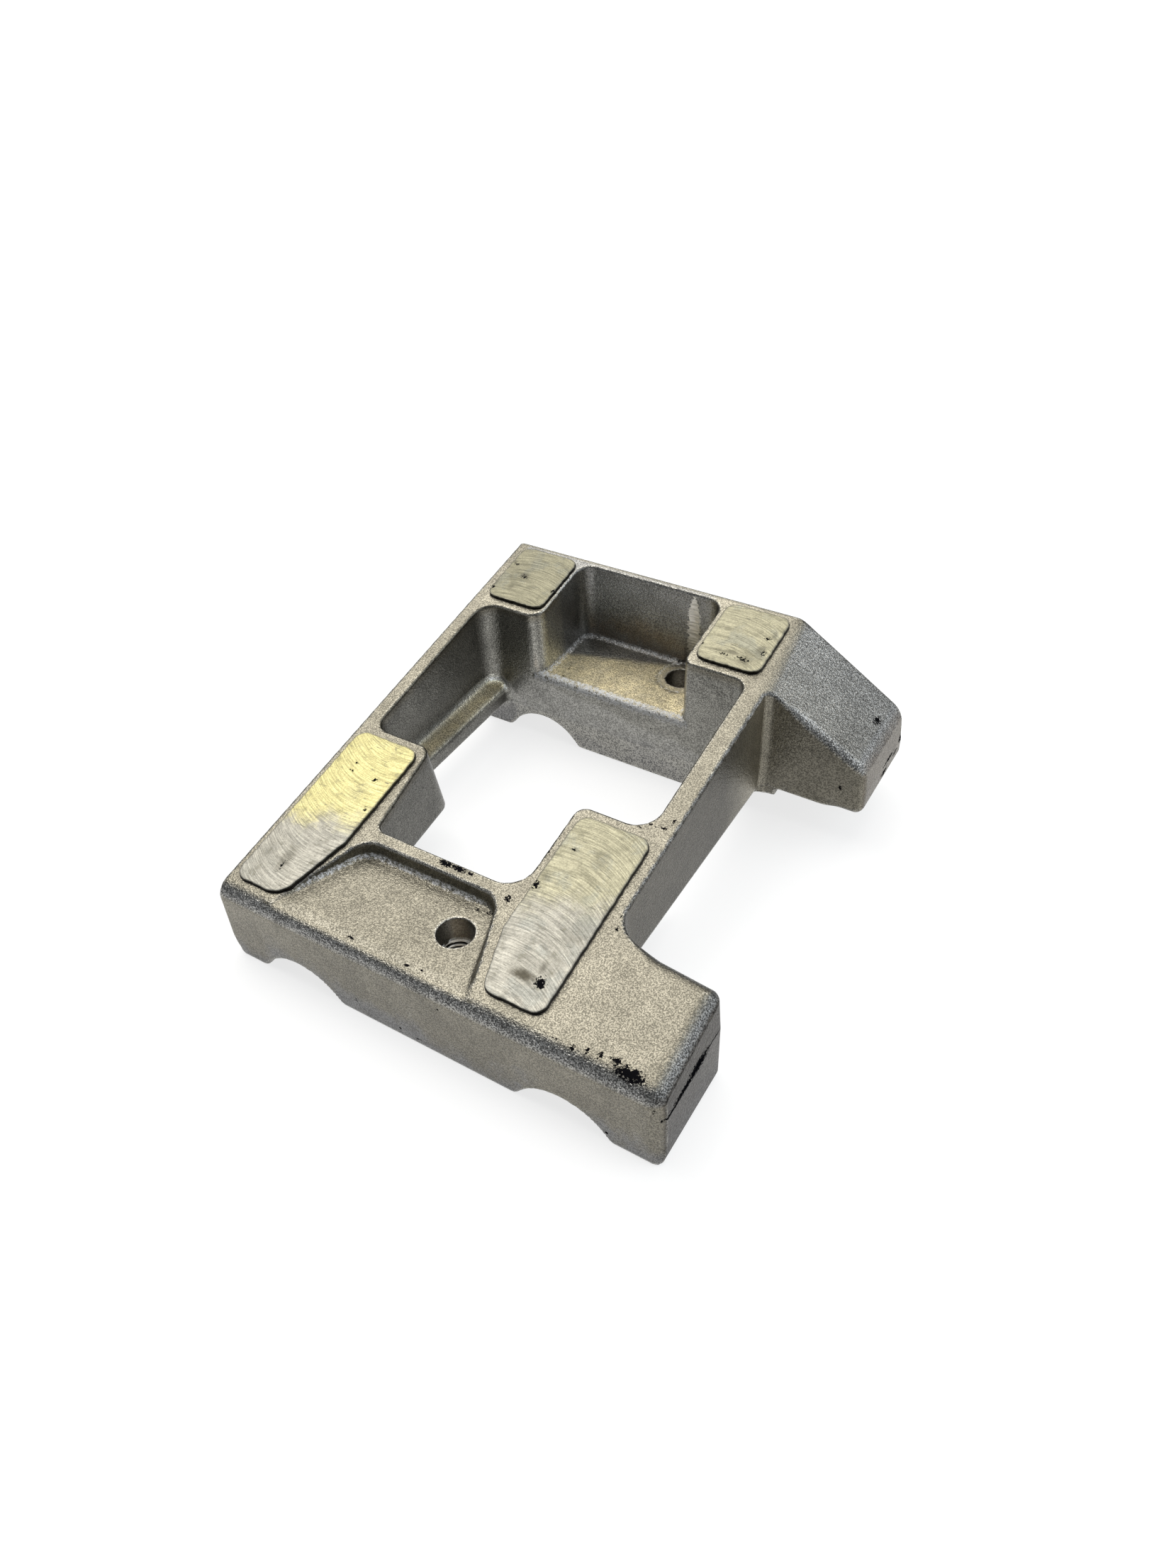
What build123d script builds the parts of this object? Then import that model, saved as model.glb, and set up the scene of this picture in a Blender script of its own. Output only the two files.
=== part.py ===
"""Kart engine mount: one aluminium casting that clamps on two chassis tubes and carries an engine.

X runs across the tubes, Y along them towards the raised end, and Z up from the plane of the
feet. The origin is the front clamp bolt's axis on that plane.
"""

import os
from math import cos, radians, sin, tan

from build123d import *

# Chassis tubes and the saddles that sit on them
tube_diameter = 32.0
tube_spacing = 92.0
saddle_depth = 9.2
saddle_lip_radius = 1.6

# Clamp bolts: tapped M10 from below, with a clearance bore above
back_bolt_to_end = 12.0
thread_diameter = 8.5
shank_diameter = 11.0
shank_depth = 8.7
spotface_diameter = 18.0
spotface_depth = 0.3

# Inclined seat for the engine
seat_angle = 10.0
seat_height = 28.7

# Body, measured across from the left face and back from the front face
left_face_to_bolt = 73.5
front_face_to_bolt = 20.5
body_width = 115.1
body_length = 170.0
back_lean = 4.5
left_wall = 6.1
right_wall = 7.8
back_wall = 3.1
front_bar_depth = 38.2
back_bar_depth = 34.3
rail_underside = 12.5
window_left_corner = 6.5
window_right_corner = 4.0

# Rounding of the outer edges
front_edge_radius = 4.4
left_edge_radius = 3.0
right_edge_radius = 2.4
foot_radius = 3.6
rim_radius = 0.9

# Flange along the foot of the left rail, measured from the rail's inside and underside
flange_width = 6.9
flange_rim_height = 6.2
flange_root_height = 9.0
flange_rim_radius = 2.0
flange_root_radius = 3.0

# Front extension on the right side
front_extension_reach = 150.0
front_extension_end_depth = 35.2
front_extension_corner = 5.0
front_extension_root = 8.0

# Back extension: its top slopes down to the end face from a crease just inside the body's side
back_extension_reach = 150.4
front_crease_inset = 0.6
back_crease_inset = 3.1
back_extension_end_height = 31.3
back_extension_end_radius = 4.0
back_extension_edge_radius = 3.0
back_extension_root = 3.0
back_extension_underside = 12.3
relief_step = 0.9
relief_corner = 1.2

# Pocket in the front bar, with its back corners and its open front ends across
pocket_floor = 29.0
pocket_rib = 4.6
pocket_back_left = 31.6
pocket_back_right = 79.6
pocket_front_left = 18.0
pocket_front_right = 91.1
pocket_corner = 4.5
pocket_foot = 1.8

# Recess above the back bar's floor, between the two back bosses
recess_floor = 28.5
recess_corner = 5.0
recess_lip = 1.8
recess_draft = 1.2
recess_left_round = 6.0
recess_right_round = 4.0

# Seat bosses: side faces across, and the front pair's length up the seat
front_boss_length = 72.7
front_left_boss_side = 32.7
front_left_boss_end_side = 28.6
front_right_boss_side = 84.0
back_left_boss_side = 28.9
back_right_boss_side = 84.0
boss_corner = 4.0
front_left_boss_root = 5.0
front_left_boss_heel = 3.0
front_right_boss_root = 8.0
front_right_boss_heel = 8.5

# Machined pads: margins from the body's sides, the boss sides and the boss ends
pad_height = 1.2
pad_corner = 3.6
left_pad_boss_margin = 1.6
right_pad_boss_margin = 3.0
pad_end_margin = 3.6
front_left_pad_margin = 2.5
front_left_pad_front = 5.8
front_left_nose_length = 24.2
front_left_nose_taper = 6.1
front_right_pad_margin = 4.1
front_right_pad_front = 6.8
front_right_nose_length = 19.2
front_right_nose_taper = 5.4
back_left_pad_margin = 4.3
back_right_pad_margin = 5.1

# Places and planes that follow from the sizes above
overlap = 1.0
clear = 20.0
slope = radians(seat_angle)
left_x = -left_face_to_bolt
front_y = -front_face_to_bolt
right_inner = body_width - right_wall
right_middle = body_width - right_wall / 2
back_top_y = front_y + body_length
back_bar_front = body_length - back_bar_depth
bolt_spacing = back_top_y - back_bolt_to_end
back_top_z = seat_height + body_length * tan(slope)
back_foot_y = back_top_y + back_top_z * tan(radians(back_lean))
saddle_axis_z = saddle_depth - tube_diameter / 2
overall_reach = max(front_extension_reach, back_extension_reach)
pocket_back = front_bar_depth - pocket_rib
seat = Plane(origin=(0, front_y, seat_height), x_dir=(1, 0, 0), z_dir=(0, -sin(slope), cos(slope)))


def across(x):
    """Place a width measured from the left face."""
    return left_x + x


def along(y):
    """Place a depth measured from the front face."""
    return front_y + y


def seat_z(y):
    """Height of the cast seat above a place along the tubes."""
    return seat_height + (y - front_y) * tan(slope)


def outer_block():
    """Side view of the body, trimmed to its plan, with its outer edges rounded."""
    with BuildPart() as block:
        with BuildSketch(Plane.YZ.offset(left_x)):
            with BuildLine():
                FilletPolyline(
                    (front_y, 0),
                    (back_foot_y, 0),
                    (back_top_y, back_top_z),
                    (front_y, seat_height),
                    radius=[0, 0, 0, front_edge_radius],
                    close=True,
                )
            make_face()
        extrude(amount=front_extension_reach)
        with BuildSketch():
            with BuildLine():
                FilletPolyline(
                    (left_x, front_y),
                    (across(front_extension_reach), front_y),
                    (across(front_extension_reach), along(front_extension_end_depth)),
                    (across(body_width), along(front_bar_depth)),
                    (across(body_width), along(back_bar_front + overlap)),
                    (across(right_middle), along(back_bar_front + overlap)),
                    (across(right_middle), back_foot_y + clear),
                    (left_x, back_foot_y + clear),
                    radius=[0, 0, front_extension_corner, front_extension_root, 0, 0, 0, 0],
                    close=True,
                )
            make_face()
        extrude(amount=back_top_z + clear, mode=Mode.INTERSECT)
        left_face = block.faces().sort_by(Axis.X)[0]
        fillet(left_face.edges().group_by(Axis.Z)[1:], radius=left_edge_radius)
        end_face = block.faces().filter_by(Plane.YZ).sort_by(Axis.X)[-1]
        fillet(end_face.edges().sort_by(Axis.Z)[-1], radius=right_edge_radius)
    return block


def slope_section(y):
    """Corners of the space above the sloping top at one place, reaching past the end face."""
    share = (y - along(back_bar_front)) / (back_top_y - along(back_bar_front))
    crease = body_width - front_crease_inset - share * (back_crease_inset - front_crease_inset)
    fall = (seat_z(y) - back_extension_end_height) / (back_extension_reach - crease)
    past_end = across(back_extension_reach) + clear
    return [
        (across(crease), seat_z(y)),
        (past_end, back_extension_end_height - fall * clear),
        (past_end, seat_z(y) + clear),
        (across(crease), seat_z(y) + clear),
    ]


def back_extension():
    """Wedge on the right of the back bar, its top ruled from the seat down to its end face."""
    with BuildPart() as wedge:
        with BuildSketch(Plane.YZ.offset(across(right_inner))):
            with BuildLine():
                Polyline(
                    (along(back_bar_front), 0),
                    (back_foot_y, 0),
                    (back_top_y, back_top_z),
                    (along(back_bar_front), seat_z(along(back_bar_front))),
                    close=True,
                )
            make_face()
        extrude(amount=back_extension_reach - right_inner)
        for y in (along(back_bar_front) - clear, back_foot_y + clear):
            with BuildSketch(Plane.XZ.offset(-y)):
                with BuildLine():
                    Polyline(*slope_section(y), close=True)
                make_face()
        loft(mode=Mode.SUBTRACT)
        end_face = wedge.faces().filter_by(Plane.YZ).sort_by(Axis.X)[-1]
        fillet(end_face.edges().sort_by(Axis.Z)[-1], radius=back_extension_end_radius)
        for side in (0, -1):
            end_face = wedge.faces().filter_by(Plane.YZ).sort_by(Axis.X)[-1]
            fillet(end_face.edges().sort_by(Axis.Y)[side], radius=back_extension_edge_radius)
    return wedge


def opening_cutter():
    """Drafted space above the back bar's floor: the window and the recess between the back bosses."""
    base = recess_floor - 2 * recess_lip
    opening_front = along((front_bar_depth + front_boss_length) / 2)
    recess_back = along(body_length - back_wall) - (back_top_z - base) * tan(radians(recess_draft))
    corners = [
        ((across(left_wall), opening_front), 0),
        ((across(left_wall), along(back_bar_front)), window_left_corner),
        ((across(back_left_boss_side), along(back_bar_front)), recess_left_round),
        ((across(back_left_boss_side), recess_back), recess_corner),
        ((across(back_right_boss_side), recess_back), recess_corner),
        ((across(back_right_boss_side), along(back_bar_front)), recess_right_round),
        ((across(right_inner), along(back_bar_front)), window_right_corner),
        ((across(right_inner), opening_front), 0),
    ]
    with BuildPart() as opening:
        with BuildSketch(Plane.XY.offset(base)):
            with BuildLine():
                FilletPolyline(*[p for p, r in corners], radius=[r for p, r in corners], close=True)
            make_face()
        extrude(amount=back_top_z + clear - base, taper=-recess_draft)
        with BuildSketch(Plane.YZ.offset(left_x)):
            with BuildLine():
                FilletPolyline(
                    (opening_front - clear, base),
                    (along(back_bar_front), base),
                    (along(back_bar_front), recess_floor),
                    (back_top_y + clear, recess_floor),
                    (back_top_y + clear, back_top_z + clear),
                    (opening_front - clear, back_top_z + clear),
                    radius=[0, 0, recess_lip, 0, 0, 0],
                    close=True,
                )
            make_face()
        extrude(amount=overall_reach, mode=Mode.INTERSECT)
    return opening


def front_bosses():
    """Two bosses behind the front bar, square to the seat and deeper than the rails."""
    with BuildPart() as bosses:
        with BuildSketch(seat):
            with BuildLine():
                FilletPolyline(
                    (across(left_wall / 2), pocket_back),
                    (across(front_left_boss_side), pocket_back),
                    (across(front_left_boss_end_side), front_boss_length),
                    (across(left_wall / 2), front_boss_length),
                    radius=[0, 0, boss_corner, 0],
                    close=True,
                )
            make_face()
            with BuildLine():
                FilletPolyline(
                    (across(front_right_boss_side), pocket_back),
                    (across(right_middle), pocket_back),
                    (across(right_middle), front_boss_length),
                    (across(front_right_boss_side), front_boss_length),
                    radius=[0, 0, 0, boss_corner],
                    close=True,
                )
            make_face()
        extrude(amount=-seat_height)
    return bosses


def boss_root(x):
    """Point on the line where a front boss's back face meets a rail, half way down."""
    down = (seat_height - rail_underside) / 2
    back = along(front_boss_length * cos(slope) + down * sin(slope))
    return (across(x), back, seat_height + front_boss_length * sin(slope) - down * cos(slope))


def boss_heel(x):
    """Point on the line where a front boss's side meets the front bar, half way down."""
    return (across(x), along(front_bar_depth), (rail_underside + seat_height) / 2)


def left_flange():
    """Flange along the foot of the left rail, sloping down to a rounded rim."""
    rim = across(left_wall + flange_width)
    root_top = rail_underside + flange_root_height + flange_root_radius
    with BuildPart() as flange:
        with BuildSketch(Plane.XZ.offset(-along(front_bar_depth))):
            with BuildLine():
                FilletPolyline(
                    (across(left_wall / 2), rail_underside),
                    (rim, rail_underside),
                    (rim, rail_underside + flange_rim_height),
                    (across(left_wall), rail_underside + flange_root_height),
                    (across(left_wall), root_top),
                    (across(left_wall / 2), root_top),
                    radius=[0, 0, flange_rim_radius, flange_root_radius, 0, 0],
                    close=True,
                )
            make_face()
        extrude(amount=-(back_bar_front - front_bar_depth + overlap))
    return flange


def feet_envelope():
    """Front view of the casting, with rounded feet and two saddles, drawn out along the tubes."""
    with BuildPart() as envelope:
        with BuildSketch(Plane.XZ.offset(-front_y)) as outline:
            with Locations((left_x, 0)):
                Rectangle(overall_reach, back_top_z + clear, align=(Align.MIN, Align.MIN))
            fillet(outline.vertices().group_by(Axis.Y)[0], radius=foot_radius)
            with Locations((-tube_spacing / 2, saddle_axis_z), (tube_spacing / 2, saddle_axis_z)):
                Circle(tube_diameter / 2, mode=Mode.SUBTRACT)
            lips = outline.vertices().group_by(Axis.Y)[0].sort_by(Axis.X)[1:-1]
            fillet(lips, radius=saddle_lip_radius)
        extrude(amount=-(back_foot_y - front_y))
    return envelope


def extension_relief():
    """Space under the back extension, from the saddle's crown out past a rounded corner."""
    inner = tube_spacing / 2 + relief_step
    outer = across(back_extension_reach)
    side_top = back_extension_underside + foot_radius + overlap
    with BuildPart() as relief:
        with BuildSketch(Plane.XZ.offset(clear - along(back_bar_front))):
            with BuildLine():
                FilletPolyline(
                    (inner, -clear),
                    (inner, back_extension_underside),
                    (outer, back_extension_underside),
                    (outer, side_top),
                    (outer + clear, side_top),
                    (outer + clear, -clear),
                    radius=[0, relief_corner, foot_radius, 0, 0, 0],
                    close=True,
                )
            make_face()
        extrude(amount=along(back_bar_front) - back_foot_y - 2 * clear)
    return relief


def pocket_cutter():
    """Space above the front bar's pocket floor, with a rounded foot."""
    with BuildPart() as pocket:
        with BuildSketch(Plane.XY.offset(pocket_floor)):
            with BuildLine():
                FilletPolyline(
                    (across(pocket_front_left), front_y - pocket_foot),
                    (across(pocket_back_left), along(pocket_back)),
                    (across(pocket_back_right), along(pocket_back)),
                    (across(pocket_front_right), front_y - pocket_foot),
                    radius=[0, pocket_corner, pocket_corner, 0],
                    close=True,
                )
            make_face()
        extrude(amount=clear)
        fillet(pocket.faces().sort_by(Axis.Z)[0].edges(), radius=pocket_foot)
    return pocket


def bolt_cutter(y, floor):
    """Tapped hole from below, then a cone and a clearance bore, up through a floor."""
    ledge = floor - shank_depth
    cone = (shank_diameter - thread_diameter) / 2
    with BuildPart() as bolt:
        with BuildSketch(Plane.XZ.offset(-y)):
            with BuildLine():
                Polyline(
                    (0, -clear),
                    (thread_diameter / 2, -clear),
                    (thread_diameter / 2, ledge - cone),
                    (shank_diameter / 2, ledge),
                    (shank_diameter / 2, floor + clear),
                    (0, floor + clear),
                    close=True,
                )
            make_face()
        revolve(axis=Axis((0, y, 0), (0, 0, 1)))
    return bolt


def pad_outlines():
    """Outlines of the four pads in the seat's plane, in order round the seat."""
    front_end = front_boss_length - pad_end_margin
    back_front = back_bar_front / cos(slope) + pad_end_margin
    back_end = body_length / cos(slope) - pad_end_margin
    left_side = across(front_left_boss_end_side - left_pad_boss_margin)
    right_side = across(front_right_boss_side + right_pad_boss_margin)
    front_left = [
        (across(front_left_pad_margin), front_left_pad_front),
        (left_side - front_left_nose_taper, front_left_pad_front),
        (left_side, front_left_pad_front + front_left_nose_length),
        (left_side, front_end),
        (across(front_left_pad_margin), front_end),
    ]
    front_right = [
        (right_side + front_right_nose_taper, front_right_pad_front),
        (across(body_width - front_right_pad_margin), front_right_pad_front),
        (across(body_width - front_right_pad_margin), front_end),
        (right_side, front_end),
        (right_side, front_right_pad_front + front_right_nose_length),
    ]
    back_left_side = across(back_left_boss_side - left_pad_boss_margin)
    back_left = [
        (across(back_left_pad_margin), back_front),
        (back_left_side, back_front),
        (back_left_side, back_end),
        (across(back_left_pad_margin), back_end),
    ]
    back_right_side = across(back_right_boss_side + right_pad_boss_margin)
    back_right = [
        (back_right_side, back_front),
        (across(body_width - back_right_pad_margin), back_front),
        (across(body_width - back_right_pad_margin), back_end),
        (back_right_side, back_end),
    ]
    return front_left, front_right, back_right, back_left


block = outer_block()
wedge = back_extension()
opening = opening_cutter()
bosses = front_bosses()
flange = left_flange()
envelope = feet_envelope()
relief = extension_relief()
pocket = pocket_cutter()
front_bolt = bolt_cutter(0, pocket_floor)
back_bolt = bolt_cutter(bolt_spacing, recess_floor)

with BuildPart() as mount_casting:
    add(block.part)
    add(wedge.part)

    # Window between the bars, drafted above the back bar's floor
    with BuildSketch():
        with BuildLine():
            FilletPolyline(
                (across(left_wall), along(front_bar_depth)),
                (across(right_inner), along(front_bar_depth)),
                (across(right_inner), along(back_bar_front)),
                (across(left_wall), along(back_bar_front)),
                radius=[0, 0, window_right_corner, window_left_corner],
                close=True,
            )
        make_face()
    extrude(amount=back_top_z + clear, mode=Mode.SUBTRACT)
    add(opening.part, mode=Mode.SUBTRACT)
    add(bosses.part)

    # Underside of the rails and bosses, between the bars
    with BuildSketch(Plane.YZ.offset(left_x - clear)):
        with Locations((along(front_bar_depth), rail_underside)):
            Rectangle(
                back_bar_front - front_bar_depth,
                rail_underside + clear,
                align=(Align.MIN, Align.MAX),
            )
    extrude(amount=overall_reach + 2 * clear, mode=Mode.SUBTRACT)

    # Rounded roots of the front bosses and of the back extension
    for point, radius in (
        (boss_root(left_wall), front_left_boss_root),
        (boss_root(right_inner), front_right_boss_root),
        (boss_heel(front_left_boss_side), front_left_boss_heel),
        (boss_heel(front_right_boss_side), front_right_boss_heel),
        ((across(body_width), along(back_bar_front), recess_floor), back_extension_root),
    ):
        fillet(mount_casting.edges().sort_by_distance(point)[0], radius=radius)
    add(flange.part)

    # Rounded rim all round the opening
    rim_y = along(front_bar_depth)
    rim_point = (across((front_left_boss_side + front_right_boss_side) / 2), rim_y, seat_z(rim_y))
    fillet(mount_casting.edges().sort_by_distance(rim_point)[0], radius=rim_radius)

    # Feet and saddles, and the relieved underside of the back extension
    add(envelope.part, mode=Mode.INTERSECT)
    add(relief.part, mode=Mode.SUBTRACT)

    # Pocket, clamp bolt holes, and the spotface whose cutter also grazes the back wall
    add(pocket.part, mode=Mode.SUBTRACT)
    add(front_bolt.part, mode=Mode.SUBTRACT)
    add(back_bolt.part, mode=Mode.SUBTRACT)
    with Locations((0, bolt_spacing, recess_floor - spotface_depth)):
        Cylinder(
            spotface_diameter / 2,
            back_top_z,
            align=(Align.CENTER, Align.CENTER, Align.MIN),
            mode=Mode.SUBTRACT,
        )

    # Machined pads
    for outline in pad_outlines():
        with BuildSketch(seat):
            with BuildLine():
                FilletPolyline(*outline, radius=pad_corner, close=True)
            make_face()
        extrude(amount=pad_height)

os.makedirs("parts", exist_ok=True)
mount_casting.part.label = "mount_casting"
export_step(mount_casting.part, "parts/mount_casting.step")
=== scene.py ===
"""Kart engine mount: the casting's visible surface, its machined pads and threads, and a stage.

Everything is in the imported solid's frame: X across the tubes, Y along them, Z up from the feet.
"""

from math import cos, pi, radians, sin, tan
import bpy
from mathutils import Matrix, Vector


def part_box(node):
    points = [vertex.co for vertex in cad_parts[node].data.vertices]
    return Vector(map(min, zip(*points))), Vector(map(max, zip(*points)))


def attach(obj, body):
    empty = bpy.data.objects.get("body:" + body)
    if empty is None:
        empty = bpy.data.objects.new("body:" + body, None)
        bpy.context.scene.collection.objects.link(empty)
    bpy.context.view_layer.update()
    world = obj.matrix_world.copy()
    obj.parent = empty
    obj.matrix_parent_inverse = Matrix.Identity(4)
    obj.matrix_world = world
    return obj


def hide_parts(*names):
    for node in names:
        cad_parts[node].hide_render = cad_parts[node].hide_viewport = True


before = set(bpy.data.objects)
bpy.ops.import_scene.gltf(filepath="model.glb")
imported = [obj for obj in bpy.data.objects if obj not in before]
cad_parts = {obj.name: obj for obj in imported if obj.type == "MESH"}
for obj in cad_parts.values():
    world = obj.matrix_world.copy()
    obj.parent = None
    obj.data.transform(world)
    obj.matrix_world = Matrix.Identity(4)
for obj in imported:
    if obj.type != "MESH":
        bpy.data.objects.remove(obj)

from types import SimpleNamespace

import bpy
import numpy as np
from bpy.props import FloatProperty, FloatVectorProperty, PointerProperty
from mathutils import Matrix, Vector

bl_info = {
    "name": "Kart engine mount",
    "version": (1, 0, 0),
    "blender": (4, 5, 0),
    "location": "3D View > Sidebar > Mount",
    "description": "Builds the visible surfaces of a cast kart engine mount round its packed solid",
    "category": "Add Mesh",
}

MM = 0.001
NODE = "mount_casting"
BODY = "root"
CLEAR = 40.0  # Far enough in mm from a form to switch to another one unseen
FOOT_ZONE = 8  # Height in mm up to which the feet's own rounding reaches
BORE_EDGE = 0.35  # Rounding of the bores' edges in mm
BORE_STEP = 0.3  # How much narrower in mm the casting's bores are behind the threads
CRISP = 50  # Edges of pads and threads that bend by more degrees stay sharp
SPECK_GRAIN = 1400.0  # Scale of the noise that breaks the specks up
PIT_GRAIN = 170.0  # Scale of the cells that the pits sit in


def length(millimetres, text):
    """A length property, stored in metres and given here in millimetres."""
    return FloatProperty(description=text, default=millimetres * MM, precision=5, unit="LENGTH")


def angle(degrees, text):
    """An angle property, given here in degrees."""
    return FloatProperty(description=text, default=radians(degrees), unit="ROTATION")


def colour(value, text):
    """A linear colour property."""
    return FloatVectorProperty(
        description=text, default=value, size=3, min=0, max=1, subtype="COLOR"
    )


def amount(value, text):
    """A plain number property."""
    return FloatProperty(description=text, default=value)


def named(group):
    """Give each property of a group its name from its key, such as Seat height."""
    for key, prop in group.__annotations__.items():
        prop.keywords["name"] = key.replace("_", " ").capitalize()
    return group


@named
class CastingSizes(bpy.types.PropertyGroup):
    """Sizes of the cast form."""

    cell: length(0.9, "Spacing of the grid that the surface is drawn on")
    tube_diameter: length(32, "Diameter of the chassis tubes")
    tube_spacing: length(92, "Distance between the tubes' axes")
    saddle_depth: length(9.2, "Height of a saddle's crown above the feet")
    saddle_lip: length(1.6, "Rounding where a saddle meets the feet")
    bolt_spacing: length(137.5, "Distance between the clamp bolts")
    shank_diameter: length(11, "Diameter of the clearance bores")
    shank_depth: length(8.7, "Depth of the clearance bores below their floors")
    spotface_diameter: length(18, "Diameter of the back hole's spotface")
    spotface_depth: length(0.3, "Depth of the spotface")
    seat_angle: angle(10, "Slope of the engine's seat")
    seat_height: length(28.7, "Height of the cast seat at the front face")
    left_face: length(73.5, "Distance of the left face from the bolts")
    front_face: length(20.5, "Distance of the front face from the front bolt")
    body_width: length(115.1, "Width of the body without its extensions")
    body_length: length(170, "Length of the body at the seat")
    back_lean: angle(4.5, "Lean of the back face")
    left_wall: length(6.1, "Thickness of the left rail")
    right_wall: length(7.8, "Thickness of the right rail")
    back_wall: length(3.1, "Thickness of the back wall at its top")
    front_bar: length(38.2, "Depth of the front bar")
    back_bar: length(135.7, "Distance of the back bar from the front face")
    underside: length(12.5, "Height of the rails' underside")
    window_left: length(6.5, "Rounding of the window's back left corner")
    window_right: length(4, "Rounding of the window's back right corner")
    front_edge: length(4.4, "Rounding along the top of the front face")
    left_edge: length(1.2, "Rounding of the left face's edges")
    right_edge: length(5.6, "Rounding of the front extension's end")
    end_trim: length(0.6, "How much of their rounding the ends cut off")
    end_lean: angle(4, "Lean of the ends above the parting line")
    parting: length(20.5, "Height of the mould's parting line")
    foot_edge: length(3.6, "Rounding of the feet's outer edges")
    small_edge: length(0.9, "Rounding of the remaining cast edges")
    crease_edge: length(1.5, "Rounding where the back extension's slope starts")
    flange_width: length(6.9, "Width of the flange along the left rail")
    flange_rim: length(6.2, "Height of the flange's rim")
    flange_root: length(9, "Height of the flange at the rail")
    flange_rim_edge: length(2, "Rounding of the flange's rim")
    flange_root_edge: length(3, "Rounding of the flange's root")
    front_reach: length(150, "Reach of the front extension from the left face")
    front_end: length(35.2, "Depth of the front extension at its end")
    front_corner: length(3, "Rounding of the front extension's back corner")
    front_root: length(8, "Rounding of the front extension's root")
    back_reach: length(150.4, "Reach of the back extension from the left face")
    crease_front: length(114.5, "Where the slope starts, at its front")
    crease_back: length(112, "Where the slope starts, at the back face")
    end_height: length(31.3, "Height of the back extension at its end")
    end_edge: length(4, "Rounding over the back extension's end")
    back_edge: length(3, "Rounding of the back extension's front edge")
    back_root: length(3, "Rounding of the back extension's root")
    relief_height: length(12.3, "Height of the back extension's underside")
    relief_step: length(0.9, "Distance of the relief from the saddle's crown")
    relief_corner: length(1.2, "Rounding inside the relief")
    pocket_floor: length(29, "Height of the front pocket's floor")
    pocket_back: length(33.6, "Depth of the pocket from the front face")
    pocket_back_left: length(31.6, "The pocket's back left corner, across")
    pocket_back_right: length(79.6, "The pocket's back right corner, across")
    pocket_front_left: length(18, "The pocket's left side at the front face")
    pocket_front_right: length(91.1, "The pocket's right side at the front face")
    pocket_corner: length(4.5, "Rounding of the pocket's back corners")
    pocket_foot: length(1.8, "Rounding of the pocket's foot")
    recess_floor: length(28.5, "Height of the back bar's floor")
    recess_corner: length(5, "Rounding of the recess's back corners")
    recess_lip: length(1.8, "Rounding of the back bar's top edge")
    recess_foot: length(1.8, "Rounding where the recess's walls meet its floor")
    recess_draft: angle(1.2, "Lean of the opening's walls")
    recess_left: length(6, "Rounding of the back left boss's edge")
    recess_right: length(4, "Rounding of the back right boss's edge")
    boss_length: length(72.7, "Reach of the front bosses up the seat")
    front_left_side: length(32.7, "The front left boss's side at the pocket")
    front_left_end: length(28.6, "The front left boss's side at its end")
    front_right_side: length(84, "The front right boss's side")
    back_left_side: length(28.9, "The back left boss's side")
    back_right_side: length(84, "The back right boss's side")
    boss_corner: length(4, "Rounding of the front bosses' corners")
    boss_lower_edge: length(2.6, "Rounding under the front left boss")
    left_root: length(5, "Rounding of the front left boss against its rail")
    left_heel: length(3, "Rounding of the front left boss against the front bar")
    right_root: length(8, "Rounding of the front right boss at its rail")
    right_heel: length(8.5, "Rounding of the front right boss at the front bar")


@named
class PadSizes(bpy.types.PropertyGroup):
    """Sizes of the four machined pads."""

    height: length(1.2, "Height of the pads above the cast seat")
    corner: length(4, "Rounding of the pads' corners")
    front_left_nose_corner: length(7, "Rounding of the front left pad's nose")
    edge: length(0.22, "Rounding of the pads' top edges")
    # The dark line is a skirt of painted shade and dirt round each pad
    foot: length(0.2, "Width of the dark line round the pads' feet")
    left_margin: length(1.6, "Distance of the left pads from their bosses' sides")
    right_margin: length(3, "Distance of the right pads from their bosses' sides")
    end_margin: length(3.6, "Distance of the pads from their bosses' ends")
    front_left_margin: length(3, "Front left pad's distance from the side")
    front_left_front: length(5.8, "Front left pad's distance from the front")
    front_left_nose: length(24.2, "Length of the front left pad's taper")
    front_left_taper: length(6.1, "Width of the front left pad's taper")
    front_right_margin: length(4.1, "Front right pad's distance from the side")
    front_right_front: length(6.8, "Front right pad's distance from the front")
    front_right_nose: length(19.2, "Length of the front right pad's taper")
    front_right_taper: length(5.4, "Width of the front right pad's taper")
    back_left_margin: length(4.3, "Back left pad's distance from the side")
    back_right_margin: length(5.1, "Back right pad's distance from the side")


@named
class ThreadSizes(bpy.types.PropertyGroup):
    """Sizes of the tapped threads."""

    pitch: length(1.5, "Rise of the thread in one turn")
    minor: length(8.5, "Diameter over the thread's crests")
    major: length(10, "Diameter at the thread's roots")


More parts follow.
